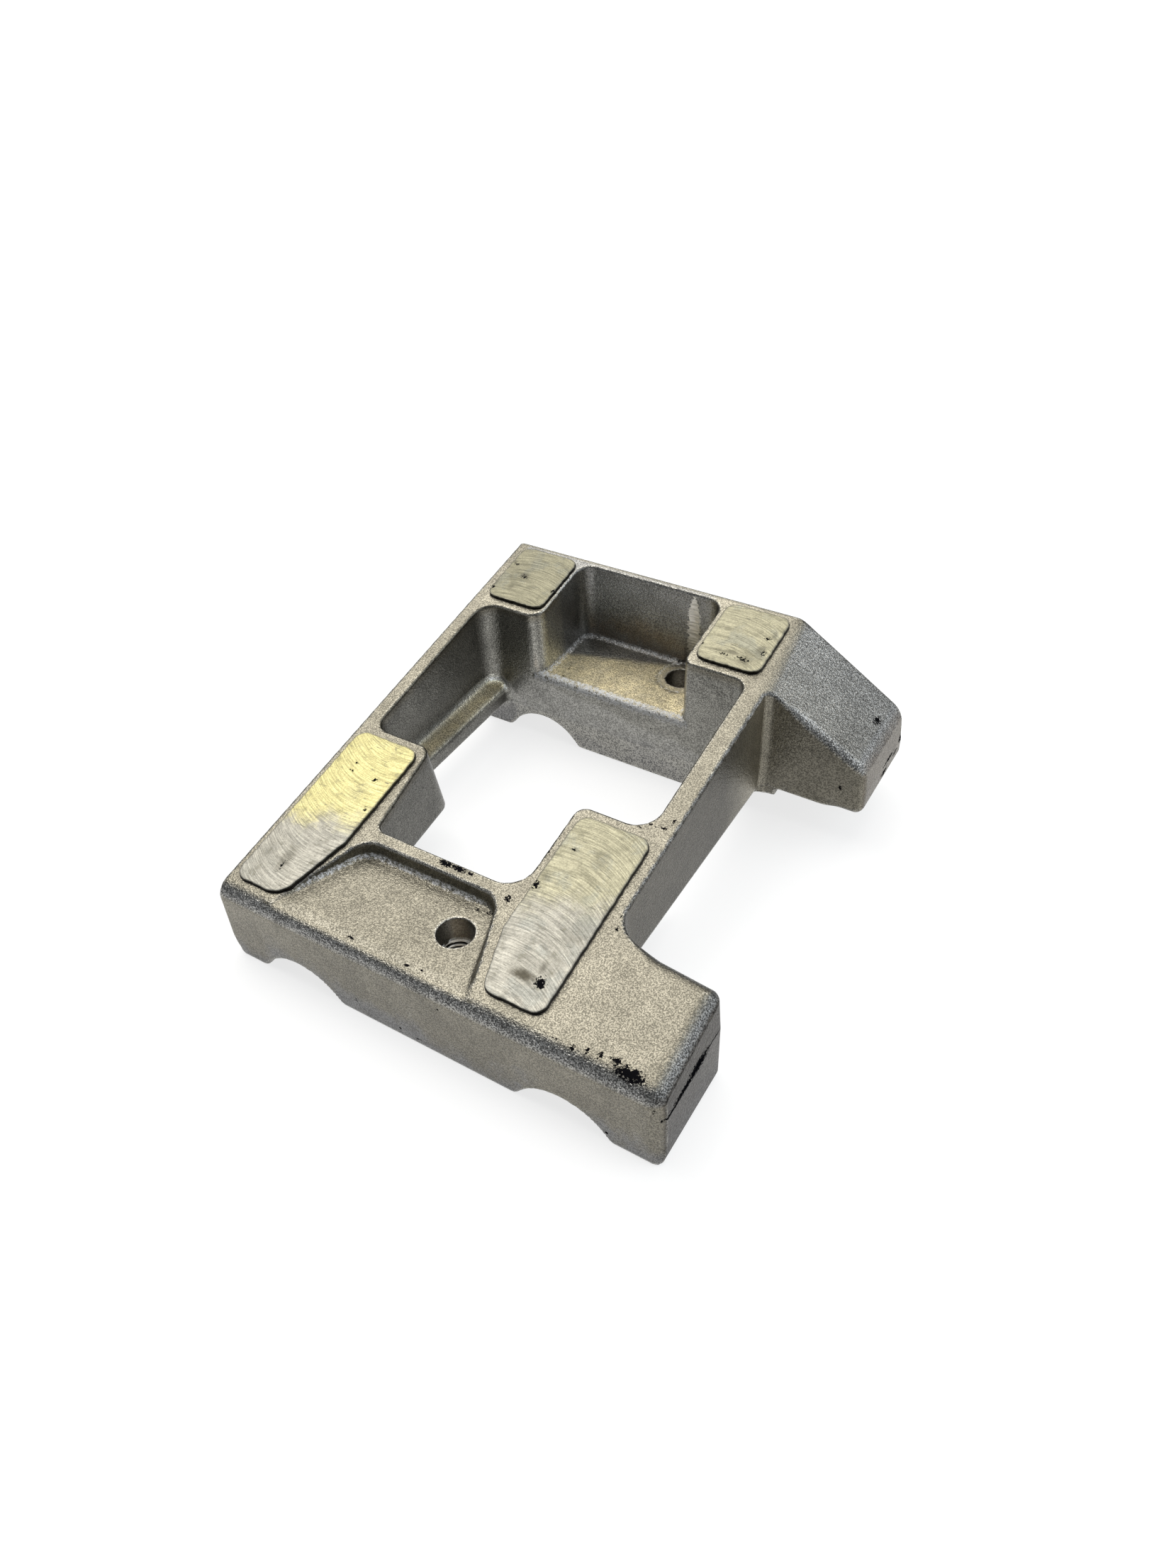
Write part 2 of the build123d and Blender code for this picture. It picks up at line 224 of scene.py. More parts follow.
@named
class Finishes(bpy.types.PropertyGroup):
    """Colours and textures of the metal."""

    cast: colour((0.2, 0.186, 0.15), "Colour of the blasted casting")
    inner: colour((0.25, 0.245, 0.222), "Colour of the skin inside the opening")
    # Cool: a painted reflection of the cool light on the slanting faces, also laid lightly on the
    # smoother skin low on the back bar
    cool: colour((0.265, 0.262, 0.252), "Colour of the slanting skin")
    warm: colour((0.56, 0.49, 0.32), "Colour of the stains on the floors")
    # Bright edges: wear with a painted highlight
    worn: colour((0.44, 0.425, 0.38), "Colour of the edges that are rubbed bright")
    # Burr: rough skin with a painted highlight, on the back bar's lip and in the concave feet of
    # the inner walls
    burr: colour((0.72, 0.72, 0.72), "Colour of the rough lip and of the bright hollows")
    stain: colour((0.215, 0.175, 0.135), "Colour of the stain on the back wall")
    milled: colour((0.85, 0.83, 0.79), "Colour of the strip that the cutter grazed")
    machined: colour((0.226, 0.218, 0.19), "Colour of the pads")
    straw: colour((0.248, 0.235, 0.168), "Tint over the other pads' backs")
    yellow: colour((0.36, 0.33, 0.165), "Tint over the front left pad")
    smudge: colour((0.15, 0.165, 0.16), "Colour of the smudges on the pads")
    paint: colour((0.005, 0.005, 0.006), "Colour of the black specks")
    pit: colour((0.03, 0.028, 0.025), "Colour inside the skin's pits")
    clean: colour((0.165, 0.166, 0.168), "Colour of the unstained inner skin")
    foot: colour((0.17, 0.168, 0.165), "Colour of the skin low on the feet")
    turned: colour((0.3, 0.29, 0.26), "Colour of the spotface")
    scratch: colour((0.07, 0.067, 0.055), "Colour of the scratches on the pads")
    smear: colour((0.048, 0.044, 0.034), "Colour of the dark smears on the pads")
    dirt: colour((0.1, 0.095, 0.07), "Colour of the dirt in the pads' grain")
    # The pads' edges and the line round their feet: painted shade and dirt
    pad_edge_dirt_and_shade: colour((0.07, 0.07, 0.065), "Colour of the pads' rounded edges")
    pad_foot_dirt_and_shade: colour((0.03, 0.028, 0.026), "Colour of the line round the pads")
    # Thread colours: painted shade at the roots, a painted highlight on the crests
    thread_root_shade: colour((0.02, 0.018, 0.015), "Colour at the threads' roots")
    thread_crest_highlight: colour((0.9, 0.84, 0.75), "Colour of the threads' crests")
    grain: length(0.5, "Size of the blasted skin's grain")
    blotch: length(16, "Size of the skin's blotches")
    cut_radius: length(30, "Radius of the cutter's marks on the pads")
    cut_pitch: length(0.55, "Distance between the cutter's marks")


@named
class StageSettings(bpy.types.PropertyGroup):
    """Floor and lights."""

    floor_colour: colour((0.3, 0.3, 0.3), "Colour of the floor")
    floor_glow: amount(0.745, "Brightness that the camera and the gloss add")
    surroundings: amount(0.2, "Strength of the light from all round")
    key: amount(2.75, "Strength of the wide light above")
    key_width: angle(75, "Angle that the key light spans")
    lamp: amount(0.4, "Strength of the small light above")
    lamp_width: angle(18, "Angle that the small light spans")
    window: amount(1.3, "Strength of the cool light from the right")
    window_width: angle(55, "Angle that the cool light spans")


def measures(group):
    """A property group's numbers, with its lengths in millimetres and its angles in radians."""
    found = SimpleNamespace()
    for name, prop in group.bl_rna.properties.items():
        if prop.type == "FLOAT" and not prop.is_array:
            value = getattr(group, name)
            setattr(found, name, value / MM if prop.unit == "LENGTH" else value)
    return found


def ramp(t):
    """Smooth step from 0 to 1: 3t^2 - 2t^3, held level outside that range."""
    t = np.clip(t, 0, 1)
    return t * t * (3 - 2 * t)


def meet(a, b, r):
    """What lies inside both a and b: their larger distance, with a quarter circle of radius r
    where both are nearer to zero than r."""
    return np.minimum(np.maximum(a, b), -r) + np.hypot(np.maximum(a + r, 0), np.maximum(b + r, 0))


def join(a, b, r):
    """What lies inside a or b: the same quarter circle, in the corner between them."""
    return -meet(-a, -b, r)


def right_of(u, v, start, end):
    """Distance to the right of the line from start to end: the cross product with its direction."""
    du, dv = end[0] - start[0], end[1] - start[1]
    return ((u - start[0]) * dv - (v - start[1]) * du) / np.hypot(du, dv)


def over_seat(along, z, s):
    """Distance above the cast seat, whose plane climbs from the front face."""
    return (z - s.seat_height) * cos(s.seat_angle) - along * sin(s.seat_angle)


def casting_field(x, y, z, s):
    """Signed distance in mm from the casting's surface, negative in the metal.

    Each face is a plane, cylinder or ruled surface given by its own signed distance, and each
    edge or corner comes from meet() or join() with that edge's radius.
    """
    across = x + s.left_face
    along = y + s.front_face
    middle = s.body_width / 2
    slope_tan = tan(s.seat_angle)
    up_seat = along * cos(s.seat_angle) + (z - s.seat_height) * sin(s.seat_angle)
    seat_here = s.seat_height + along * slope_tan
    top_z = s.seat_height + s.body_length * slope_tan
    back_foot = s.body_length + top_z * tan(s.back_lean)

    # Outer form: the seat and the back extension's slope, then the front, back, foot and sides
    share = (along - s.back_bar) / (s.body_length - s.back_bar)
    crease = s.crease_front + share * (s.crease_back - s.crease_front)
    fall = (seat_here - s.end_height) / (s.back_reach - crease)
    slope = (z - seat_here + fall * (across - crease)) / np.sqrt(1 + fall**2 + slope_tan**2)
    slope = np.where(along > s.back_bar - CLEAR, slope, -CLEAR)
    back = (along - back_foot) * cos(s.back_lean) + z * sin(s.back_lean)
    form = meet(meet(over_seat(along, z, s), slope, s.crease_edge), -along, s.front_edge)
    form = meet(meet(form, back, s.crease_edge), -z, s.small_edge)
    near_feet = ramp(1 - z / FOOT_ZONE)
    form = meet(form, -across, s.left_edge + (s.foot_edge - s.left_edge) * near_feet)
    lean = tan(s.end_lean) * np.maximum(z - s.parting, 0)
    front_side = right_of(
        along, across, (s.front_bar, s.body_width), (s.front_end, s.front_reach)
    )
    front_extension = meet(across - s.front_reach + lean, front_side, s.front_corner)
    back_extension = meet(across - s.back_reach + lean, s.back_bar - along, s.back_edge)
    plan = join(across - s.body_width, front_extension, s.front_root)
    plan = join(plan, back_extension, s.back_root)
    out = ramp((across - s.body_width - 4) / 12)
    end = np.where(along > s.back_bar - CLEAR, s.end_edge, s.right_edge)
    end = end + (s.foot_edge - end) * near_feet
    form = meet(form, plan - s.end_trim * out, s.small_edge + (end - s.small_edge) * out)
    form = np.maximum(form, plan)

    # Opening between the rails, with the recess over the back bar's floor
    window = meet(along - s.back_bar, s.left_wall - across, s.window_left)
    window = meet(window, across - (s.body_width - s.right_wall), s.window_right)
    base = s.recess_floor - 2 * s.recess_lip
    wall = s.body_length - s.back_wall - (top_z - base) * tan(s.recess_draft)
    recess = meet(along - wall, s.back_left_side - across, s.recess_corner)
    recess = meet(recess, across - s.back_right_side, s.recess_corner)
    flare = np.where(across < middle, s.recess_left, s.recess_right)
    opening = join(window, recess, flare) - np.maximum(z - base, 0) * tan(s.recess_draft)
    bar = meet(s.back_bar - along, z - s.recess_floor, s.recess_lip)
    opening = meet(opening, -bar, s.recess_foot * ramp((along - s.back_bar - 1) / 3))
    opening = np.maximum(opening, s.front_bar - along)

    # Front bosses, square to the seat
    left_boss = right_of(
        up_seat, across, (s.pocket_back, s.front_left_side), (s.boss_length, s.front_left_end)
    )
    left_boss = meet(-left_boss, up_seat - s.boss_length, s.boss_corner)
    right_boss = meet(s.front_right_side - across, up_seat - s.boss_length, s.boss_corner)
    heel = np.where(across < middle, s.left_heel, s.right_heel)
    root = np.where(across < middle, s.left_root, s.right_root)
    corner = np.where(up_seat < (s.front_bar + s.boss_length) / 2, heel, root)
    opening = meet(opening, -np.minimum(left_boss, right_boss), corner)

    # Flange along the left rail's foot, and the space under the rails
    rim = (s.left_wall + s.flange_width, s.underside + s.flange_rim)
    flange = right_of(z, across, (rim[1], rim[0]), (s.underside + s.flange_root, s.left_wall))
    flange = meet(across - rim[0], -flange, s.flange_rim_edge)
    opening = meet(opening, -flange, s.flange_root_edge)
    under = np.maximum(np.maximum(z - s.underside, s.front_bar - along), along - s.back_bar)
    soft = ramp((along - s.front_bar - 1) / 3) * ramp((s.back_bar - along - 1) / 3)
    lower = s.small_edge * soft
    near_boss = ramp((s.boss_length + 8 - along) / 6) * ramp((middle - across) / 4)
    near_boss = near_boss * ramp((across - s.left_wall - s.flange_width - 2) / 4)
    lower = lower + near_boss * soft * (s.boss_lower_edge - s.small_edge)
    opening = join(opening, under, lower)
    form = meet(form, -opening, s.small_edge)

    # Saddles, the relief under the back extension, and the pocket in the front bar
    saddle_z = s.saddle_depth - s.tube_diameter / 2
    saddle = np.hypot(np.abs(x) - s.tube_spacing / 2, z - saddle_z) - s.tube_diameter / 2
    form = meet(form, -saddle, s.small_edge + (s.saddle_lip - s.small_edge) * ramp(1 - z / 4))
    step = s.tube_spacing / 2 + s.relief_step
    relief = meet(step - x, z - s.relief_height, s.relief_corner)
    relief = np.maximum(relief, s.back_bar - CLEAR - along)
    under_edge = ramp((across - s.back_reach + 15) / 8)
    form = meet(form, -relief, s.small_edge + (s.foot_edge - s.small_edge) * under_edge)
    left_side = right_of(
        across, along, (s.pocket_back_left, s.pocket_back), (s.pocket_front_left, 0)
    )
    right_side = right_of(
        across, along, (s.pocket_front_right, 0), (s.pocket_back_right, s.pocket_back)
    )
    pocket = meet(along - s.pocket_back, left_side, s.pocket_corner)
    pocket = meet(pocket, right_side, s.pocket_corner)
    pocket = meet(pocket, s.pocket_floor - z, s.pocket_foot)
    form = meet(form, -pocket, s.small_edge)

    # Bolt holes, and the spotface whose cutter also grazes the back wall
    for bolt_y, floor in ((0, s.pocket_floor), (s.bolt_spacing, s.recess_floor)):
        reach = np.hypot(x, y - bolt_y)
        shank = np.maximum(reach - s.shank_diameter / 2, floor - s.shank_depth - z)
        bore = np.minimum(shank, reach - s.shank_diameter / 2 + BORE_STEP)
        form = meet(form, -bore, BORE_EDGE)
    beyond = reach - s.spotface_diameter / 2
    spot = s.recess_floor - s.spotface_depth * ramp(0.5 - beyond) - z
    beyond = beyond - 0.5 * (1 - ramp((z - s.recess_floor) / 1.5))
    return np.maximum(form, -np.maximum(beyond, spot))


def drawn_surface(field, low, high, cell):
    """Mesh of the surface where a field is zero, on a grid of cells.

    Each cell that the surface crosses has one vertex, at the mean of the crossings on its edges,
    and each crossed edge has one face, through the vertices of the four cells round it.
    """
    counts = [int(np.ceil((b - a) / cell)) + 1 for a, b in zip(low, high)]
    axes = [a + cell * np.arange(n) for a, n in zip(low, counts)]
    x, y, z = np.meshgrid(*axes, indexing="ij", sparse=True)
    values = np.asarray(field(x, y, z))
    strides = np.array([counts[1] * counts[2], counts[2], 1])
    flat = values.ravel()
    sums = []
    owners = []
    quads = []
    for axis in range(3):
        first = np.take(values, range(counts[axis] - 1), axis)
        second = np.take(values, range(1, counts[axis]), axis)
        where = np.stack(np.nonzero((first < 0) != (second < 0)), axis=1)
        ids = where @ strides
        start, end = flat[ids], flat[ids + strides[axis]]
        points = where.astype(float)
        points[:, axis] += start / (start - end)
        one, two = [strides[k] for k in range(3) if k != axis]
        around = np.stack([ids - one - two, ids - two, ids, ids - one], axis=1)
        turned = (start < 0) == (axis != 1)
        around[~turned] = around[~turned][:, ::-1]
        quads.append(around)
        owners.append(around.ravel())
        sums.append(np.repeat(points, 4, axis=0))
    owners, sums, quads = np.concatenate(owners), np.concatenate(sums), np.concatenate(quads)
    cells, index = np.unique(owners, return_inverse=True)
    tally = np.bincount(index)
    mean = np.stack([np.bincount(index, weights=sums[:, k]) / tally for k in range(3)], axis=1)
    return np.array(low) + cell * mean, np.searchsorted(cells, quads)


def gradient(field, points, step):
    """Gradient of a field at some points, from differences over a step each way."""
    sides = []
    for axis in range(3):
        shift = np.zeros(3)
        shift[axis] = step
        ahead, behind = field(*(points + shift).T), field(*(points - shift).T)
        sides.append((ahead - behind) / (2 * step))
    return np.stack(sides, axis=1)


def bending(field, points, step):
    """How sharply the surface bends: the field's second differences added up, in 1/mm."""
    total = -6 * field(*points.T)
    for axis in range(3):
        shift = np.zeros(3)
        shift[axis] = step
        total = total + field(*(points + shift).T) + field(*(points - shift).T)
    return total / step**2


def settled(field, points, rounds):
    """Points moved on to the surface, down the field's gradient by Newton's steps."""
    for _ in range(rounds):
        slope = gradient(field, points, 0.02)
        value = field(*points.T)
        move = value / np.maximum((slope**2).sum(axis=1), 0.25)
        points = points - np.clip(move, -0.5, 0.5)[:, None] * slope
    return points


def rounded_outline(corners, radius, count):
    """Points evenly spaced along a polygon whose corners are arcs, each of its own radius."""
    corners = np.array(corners, float)
    ahead = np.roll(corners, -1, axis=0) - corners
    ahead /= np.linalg.norm(ahead, axis=1)[:, None]
    behind = np.roll(ahead, 1, axis=0)
    turn = np.arctan2(
        behind[:, 0] * ahead[:, 1] - behind[:, 1] * ahead[:, 0], (behind * ahead).sum(axis=1)
    )
    inward = np.stack([-behind[:, 1], behind[:, 0]], axis=1) * np.sign(turn)[:, None]
    start = corners - behind * (radius * np.tan(np.abs(turn) / 2))[:, None]
    radius = radius[:, None, None]
    swing = np.linspace(0, 1, 13)[None, :] * turn[:, None]
    inward_x, inward_y = inward[:, None, 0], inward[:, None, 1]
    spun_x = inward_y * np.sin(swing) - inward_x * np.cos(swing)
    spun_y = -inward_y * np.cos(swing) - inward_x * np.sin(swing)
    centres = start[:, None] + inward[:, None] * radius
    line = (centres + radius * np.stack([spun_x, spun_y], axis=2)).reshape(-1, 2)
    closed = np.vstack([line, line[:1]])
    travelled = np.concatenate([[0], np.cumsum(np.linalg.norm(np.diff(closed, axis=0), axis=1))])
    stops = np.linspace(0, travelled[-1], count, endpoint=False)
    return np.stack([np.interp(stops, travelled, closed[:, k]) for k in (0, 1)], axis=1)


def ring_faces(rings, count):
    """Quads between closed rings of points, from each ring to the next."""
    row = np.arange(rings - 1)[:, None] * count
    col = np.arange(count)[None, :]
    after = (col + 1) % count
    quads = np.stack([row + col, row + after, row + count + after, row + count + col], axis=2)
    return quads.reshape(-1, 4)


def seat_points(across, up_seat, over, s):
    """Points in the frame from places on the seat: across, up its slope, and over it."""
    slope_cos, slope_sin = cos(s.seat_angle), sin(s.seat_angle)
    return np.stack(
        [
            across - s.left_face,
            up_seat * slope_cos - over * slope_sin - s.front_face,
            s.seat_height + up_seat * slope_sin + over * slope_cos,
        ],
        axis=1,
    )


def pad_surface(corners, radii, s, p):
    """A pad: its outline carried down a rounded edge, and drawn in to its middle on top.

    Each ring is the outline moved inwards by its own inset, at its own height above the seat.
    The last of the three results says which points lie on the pad's outer edge.
    """
    count, rings = 260, 26
    outline = rounded_outline(corners, radii, count)
    tangent = np.roll(outline, -1, axis=0) - np.roll(outline, 1, axis=0)
    inward = np.stack([-tangent[:, 1], tangent[:, 0]], axis=1)
    inward /= np.linalg.norm(inward, axis=1)[:, None]
    travel = np.arange(count) / count * 2 * pi
    ragged = 0.09 * np.sin(17 * travel + 1) * np.sin(5 * travel) + 0.05 * np.sin(41 * travel)
    bend = np.linspace(0, pi / 2, 5)
    # The first rings are a skirt, p.foot wide, just over the seat, coloured as painted shade and
    # dirt round the pad's foot
    insets = [[-p.foot, -p.foot, 0], p.edge * (1 - np.cos(bend)), [1.2 * p.edge, 0.8]]
    heights = [[-0.6, 0.03, 0.08], p.height - p.edge * (1 - np.sin(bend)), [p.height] * 2]
    insets, heights = np.concatenate(insets), np.concatenate(heights)
    side = outline[None] + inward[None] * (insets[:, None] + ragged[None])[:, :, None]
    middle = outline.mean(axis=0)
    shrink = np.linspace(1, 0.02, rings)[1:, None, None]
    top = middle + (side[-1] - middle)[None] * shrink
    flat = np.concatenate([side, top])
    height = np.concatenate([heights, np.full(rings - 1, p.height)])[:, None]
    height = np.broadcast_to(height, flat.shape[:2])
    outer = np.arange(len(flat)) < len(heights) - 1
    outer = np.broadcast_to(outer[:, None], flat.shape[:2])
    points = seat_points(flat[..., 0].ravel(), flat[..., 1].ravel(), height.ravel(), s)
    faces = ring_faces(len(flat), count).tolist()
    faces.append(list(range(count))[::-1])
    faces.append(list(range(len(points) - count, len(points))))
    return points, faces, outer.ravel()


def four_corners(left, right, front, back):
    """A rectangle's corners, counter-clockwise."""
    return [(left, front), (right, front), (right, back), (left, back)]


def pad_corners(s, p):
    """Corners of each pad on the seat, counter-clockwise, by name.

    The front pads taper towards the front, on the pocket's side.
    """
    front_end = s.boss_length - p.end_margin
    back = [
        s.back_bar / cos(s.seat_angle) + p.end_margin,
        s.body_length / cos(s.seat_angle) - p.end_margin,
    ]
    left, right = s.front_left_end - p.left_margin, s.front_right_side + p.right_margin
    front_left = four_corners(p.front_left_margin, left, p.front_left_front, front_end)
    front_left[1:2] = [
        (left - p.front_left_taper, p.front_left_front),
        (left, p.front_left_front + p.front_left_nose),
    ]
    outer = s.body_width - p.front_right_margin
    front_right = four_corners(right, outer, p.front_right_front, front_end)
    front_right[0] = (right + p.front_right_taper, p.front_right_front)
    front_right.append((right, p.front_right_front + p.front_right_nose))
    left, right = s.back_left_side - p.left_margin, s.back_right_side + p.right_margin
    return {
        "pad_front_left": front_left,
        "pad_front_right": front_right,
        "pad_back_left": four_corners(p.back_left_margin, left, *back),
        "pad_back_right": four_corners(right, s.body_width - p.back_right_margin, *back),
    }


def thread_surface(bolt_y, floor, s, t):
    """A tapped hole's wall: its radius follows the turn and the height, up to a cone and a bore,
    and how near each point is to a crest.

    The radius is the root's, less the crest's height times a rounded triangle wave of
    (height / pitch - turn), and never less than the cone that opens it to the bore.
    """
    count, rows = 96, 150
    ledge = floor - s.shank_depth
    outer = s.shank_diameter / 2 - 0.05
    turn = np.linspace(0, 2 * pi, count, endpoint=False)[None, :]
    height = np.linspace(0.25, ledge, rows)[:, None]
    wave = (height / t.pitch - turn / (2 * pi)) % 1
    crest = ramp((np.abs(wave * 2 - 1) - 0.12) / 0.76)
    radius = t.major / 2 - crest * (t.major - t.minor) / 2
    radius = np.clip(radius, s.shank_diameter / 2 - (ledge - height), outer)
    ends = np.full((1, count), outer + 0.2)
    radii = np.concatenate([ends, radius, ends, ends])
    heights = np.concatenate([height[:1], height, height[-1:], height[:1]])
    heights = np.broadcast_to(heights, radii.shape)
    x, y = radii * np.cos(turn), bolt_y + radii * np.sin(turn)
    points = np.stack([x.ravel(), y.ravel(), heights.ravel()], axis=1)
    faces = ring_faces(len(radii), count)[:, ::-1]
    last = (len(radii) - 1) * count
    faces = np.where(faces >= last, faces - last, faces)
    crests = (t.major / 2 - radii) / (t.major / 2 - t.minor / 2)
    coned = s.shank_diameter / 2 - (ledge - heights) > radii - 0.02
    return points[:last], faces.tolist(), np.where(coned, 1, crests).ravel()[:last]


class Level:
    """One output of a shader node, which holds a value at each point of the surface.

    Every sum, difference, product or quotient of levels adds a Math node, and level[name] is
    another output of the same node.
    """

    def __init__(self, node, output=0):
        self.node, self.socket = node, node.outputs[output]

    def __getitem__(self, output):
        return Level(self.node, output)

    def __add__(self, other):
        return figure("ADD", self, other)

    def __sub__(self, other):
        return figure("SUBTRACT", self, other)

    def __rsub__(self, other):
        return figure("SUBTRACT", other, self)

    def __mul__(self, other):
        return figure("MULTIPLY", self, other)

    def __truediv__(self, other):
        return figure("DIVIDE", self, other)

    def step(self, low, high):
        """0 at low, 1 at high, and smooth between them."""
        feeds = {"Value": self, "From Min": low, "From Max": high}
        return put(self.node.id_data, "MapRange", feeds, interpolation_type="SMOOTHSTEP")


def feed(socket, value):
    """Link an input to a level, or give it a plain value."""
    if isinstance(value, Level):
        socket.id_data.links.new(value.socket, socket)
    else:
        socket.default_value = value


def put(tree, kind, feeds, **options):
    """Add a shader node with its options set and its inputs fed, and give its first output."""
    node = tree.nodes.new("ShaderNode" + kind)
    for option, value in options.items():
        setattr(node, option, value)
    for place, value in feeds.items():
        feed(node.inputs[place], value)
    return Level(node)


def figure(operation, *values):
    """The result of a Math node on levels and plain numbers."""
    tree = next(value.node.id_data for value in values if isinstance(value, Level))
    return put(tree, "Math", dict(enumerate(values)), operation=operation)


def cloudy(where, scale, detail=2.0, roughness=0.5):
    """The value of a Noise texture."""
    feeds = {"Vector": where, "Scale": scale, "Detail": detail, "Roughness": roughness}
    return put(where.node.id_data, "TexNoise", feeds)


def ellipsoid(where, centre, half):
    """Distance from a centre, with each axis measured in its own half size."""
    tree = where.node.id_data
    away = put(tree, "VectorMath", {0: where, 1: centre}, operation="SUBTRACT")
    away = put(tree, "VectorMath", {0: away, 1: half}, operation="DIVIDE")
    return put(tree, "VectorMath", {0: away}, operation="LENGTH")["Value"]


def ring(x, y, near, far, soft):
    """A ring round an upright axis, between two radii, with soft edges."""
    reach = figure("SQRT", x * x + y * y)
    return reach.step(near - soft, near) * reach.step(far + soft, far)


def mixed(tree, share, under, over, blend="MIX"):
    """One colour laid over another, by a share from 0 to 1."""
    feeds = {0: share}
    for place, tint in ((6, under), (7, over)):
        feeds[place] = tint if isinstance(tint, Level) else (*tint, 1)
    return put(tree, "Mix", feeds, data_type="RGBA", blend_type=blend)[2]


def new_group(name, inputs, outputs):
    """An empty shader node group: its tree, its given values and its result's sockets."""
    tree = bpy.data.node_groups.new(name, "ShaderNodeTree")
    for socket, kind in inputs.items():
        tree.interface.new_socket(socket, in_out="INPUT", socket_type="NodeSocket" + kind)
    for socket in outputs:
        tree.interface.new_socket(socket, in_out="OUTPUT", socket_type="NodeSocketFloat")
    given = Level(tree.nodes.new("NodeGroupInput"))
    return tree, given, tree.nodes.new("NodeGroupOutput").inputs


def grain_group(name):
    """Blasted grain: two noises added for the height, and a third, cut off, for bright flecks."""
    inputs = {"Vector": "Vector", "Size": "Float"}
    tree, given, result = new_group(name, inputs, ["Height", "Fleck"])
    where, scale = given["Vector"], figure("DIVIDE", 1.0, given["Size"])
    feed(result["Height"], cloudy(where, scale * 0.4, 1.0) * 0.8 + cloudy(where, scale, 2.0, 0.6))
    feed(result["Fleck"], cloudy(where, scale * 1.2, 1.0).step(0.36, 0.64))
    return tree


def blotch_group(name):
    """Wide uneven blotches, between 0 and 1, from one noise cut off at both ends."""
    tree, given, result = new_group(name, {"Vector": "Vector", "Size": "Float"}, ["Mask"])
    blotch = cloudy(given["Vector"], figure("DIVIDE", 1.0, given["Size"]), 4.0, 0.62)
    feed(result["Mask"], blotch.step(0.34, 0.68))
    return tree


def speck_group(name):
    """One broken speck: a soft ellipsoid round a centre, eaten away by fine noise."""
    inputs = {"Vector": "Vector", "Centre": "Vector", "Half size": "Vector", "Fill": "Float"}
    tree, given, result = new_group(name, inputs, ["Mask"])
    near = given["Fill"] - ellipsoid(given["Vector"], given["Centre"], given["Half size"])
    ragged = (cloudy(given["Vector"], SPECK_GRAIN, 3.0, 0.7) - 0.5) * 4.0
    feed(result["Mask"], (near + ragged).step(-0.1, 0.25))
    return tree


PATTERNS = {"blasted grain": grain_group, "blotches": blotch_group, "paint speck": speck_group}


def new_material(name):
    """A material with nodes, and its tree."""
    material = bpy.data.materials.new(name)
    material.use_nodes = True
    return material, material.node_tree


class Finish:
    """A metal finish, whose colour is laid on coat by coat."""

    def __init__(self, name, tint):
        self.material, self.tree = new_material(name)
        self.inputs = self.tree.nodes["Principled BSDF"].inputs
        self.where = Level(self.tree.nodes.new("ShaderNodeTexCoord"), "Object")
        self.tint = tint

    def attribute(self, name):
        """The value of a mesh attribute."""
        return put(self.tree, "Attribute", {}, attribute_name=name)["Fac"]

    def pattern(self, name, **feeds):
        """A node group that the finishes share, made the first time that it is asked for."""
        group = bpy.data.node_groups.get(name) or PATTERNS[name](name)
        return put(self.tree, "Group", {"Vector": self.where, **feeds}, node_tree=group)

    def coat(self, share, tint, blend="MIX"):
        """Lay a colour over what is there, by a share from 0 to 1."""
        self.tint = mixed(self.tree, share, self.tint, tint, blend)

    def shade(self, mask, low, high, share=1.0):
        """Darken or lighten it from low to high times, as a mask goes from 0 to 1."""
        self.coat(share, mask * (high - low) + low, "MULTIPLY")

    def speckle(self, specks, paint):
        """Lay on black specks, and give how bare of them each point is."""
        mask = None
        for centre, half, fill in specks:
            feeds = {"Centre": Vector(centre) * MM, "Half size": Vector(half) * MM, "Fill": fill}
            one = self.pattern("paint speck", **feeds)
            mask = figure("MAXIMUM", mask, one) if mask else one
        self.coat(mask, paint)
        return 1.0 - mask

    def done(self, metallic, rough, bump=None):
        """Feed the shader. Specks and rough skin are no metal, and have no gloss of their own."""
        feed(self.inputs["Base Color"], self.tint)
        feed(self.inputs["Metallic"], metallic)
        feed(self.inputs["Roughness"], rough)
        feed(self.inputs["Specular IOR Level"], 0.0)
        if bump:
            feed(self.inputs["Normal"], put(self.tree, "Bump", bump))
        return self.material


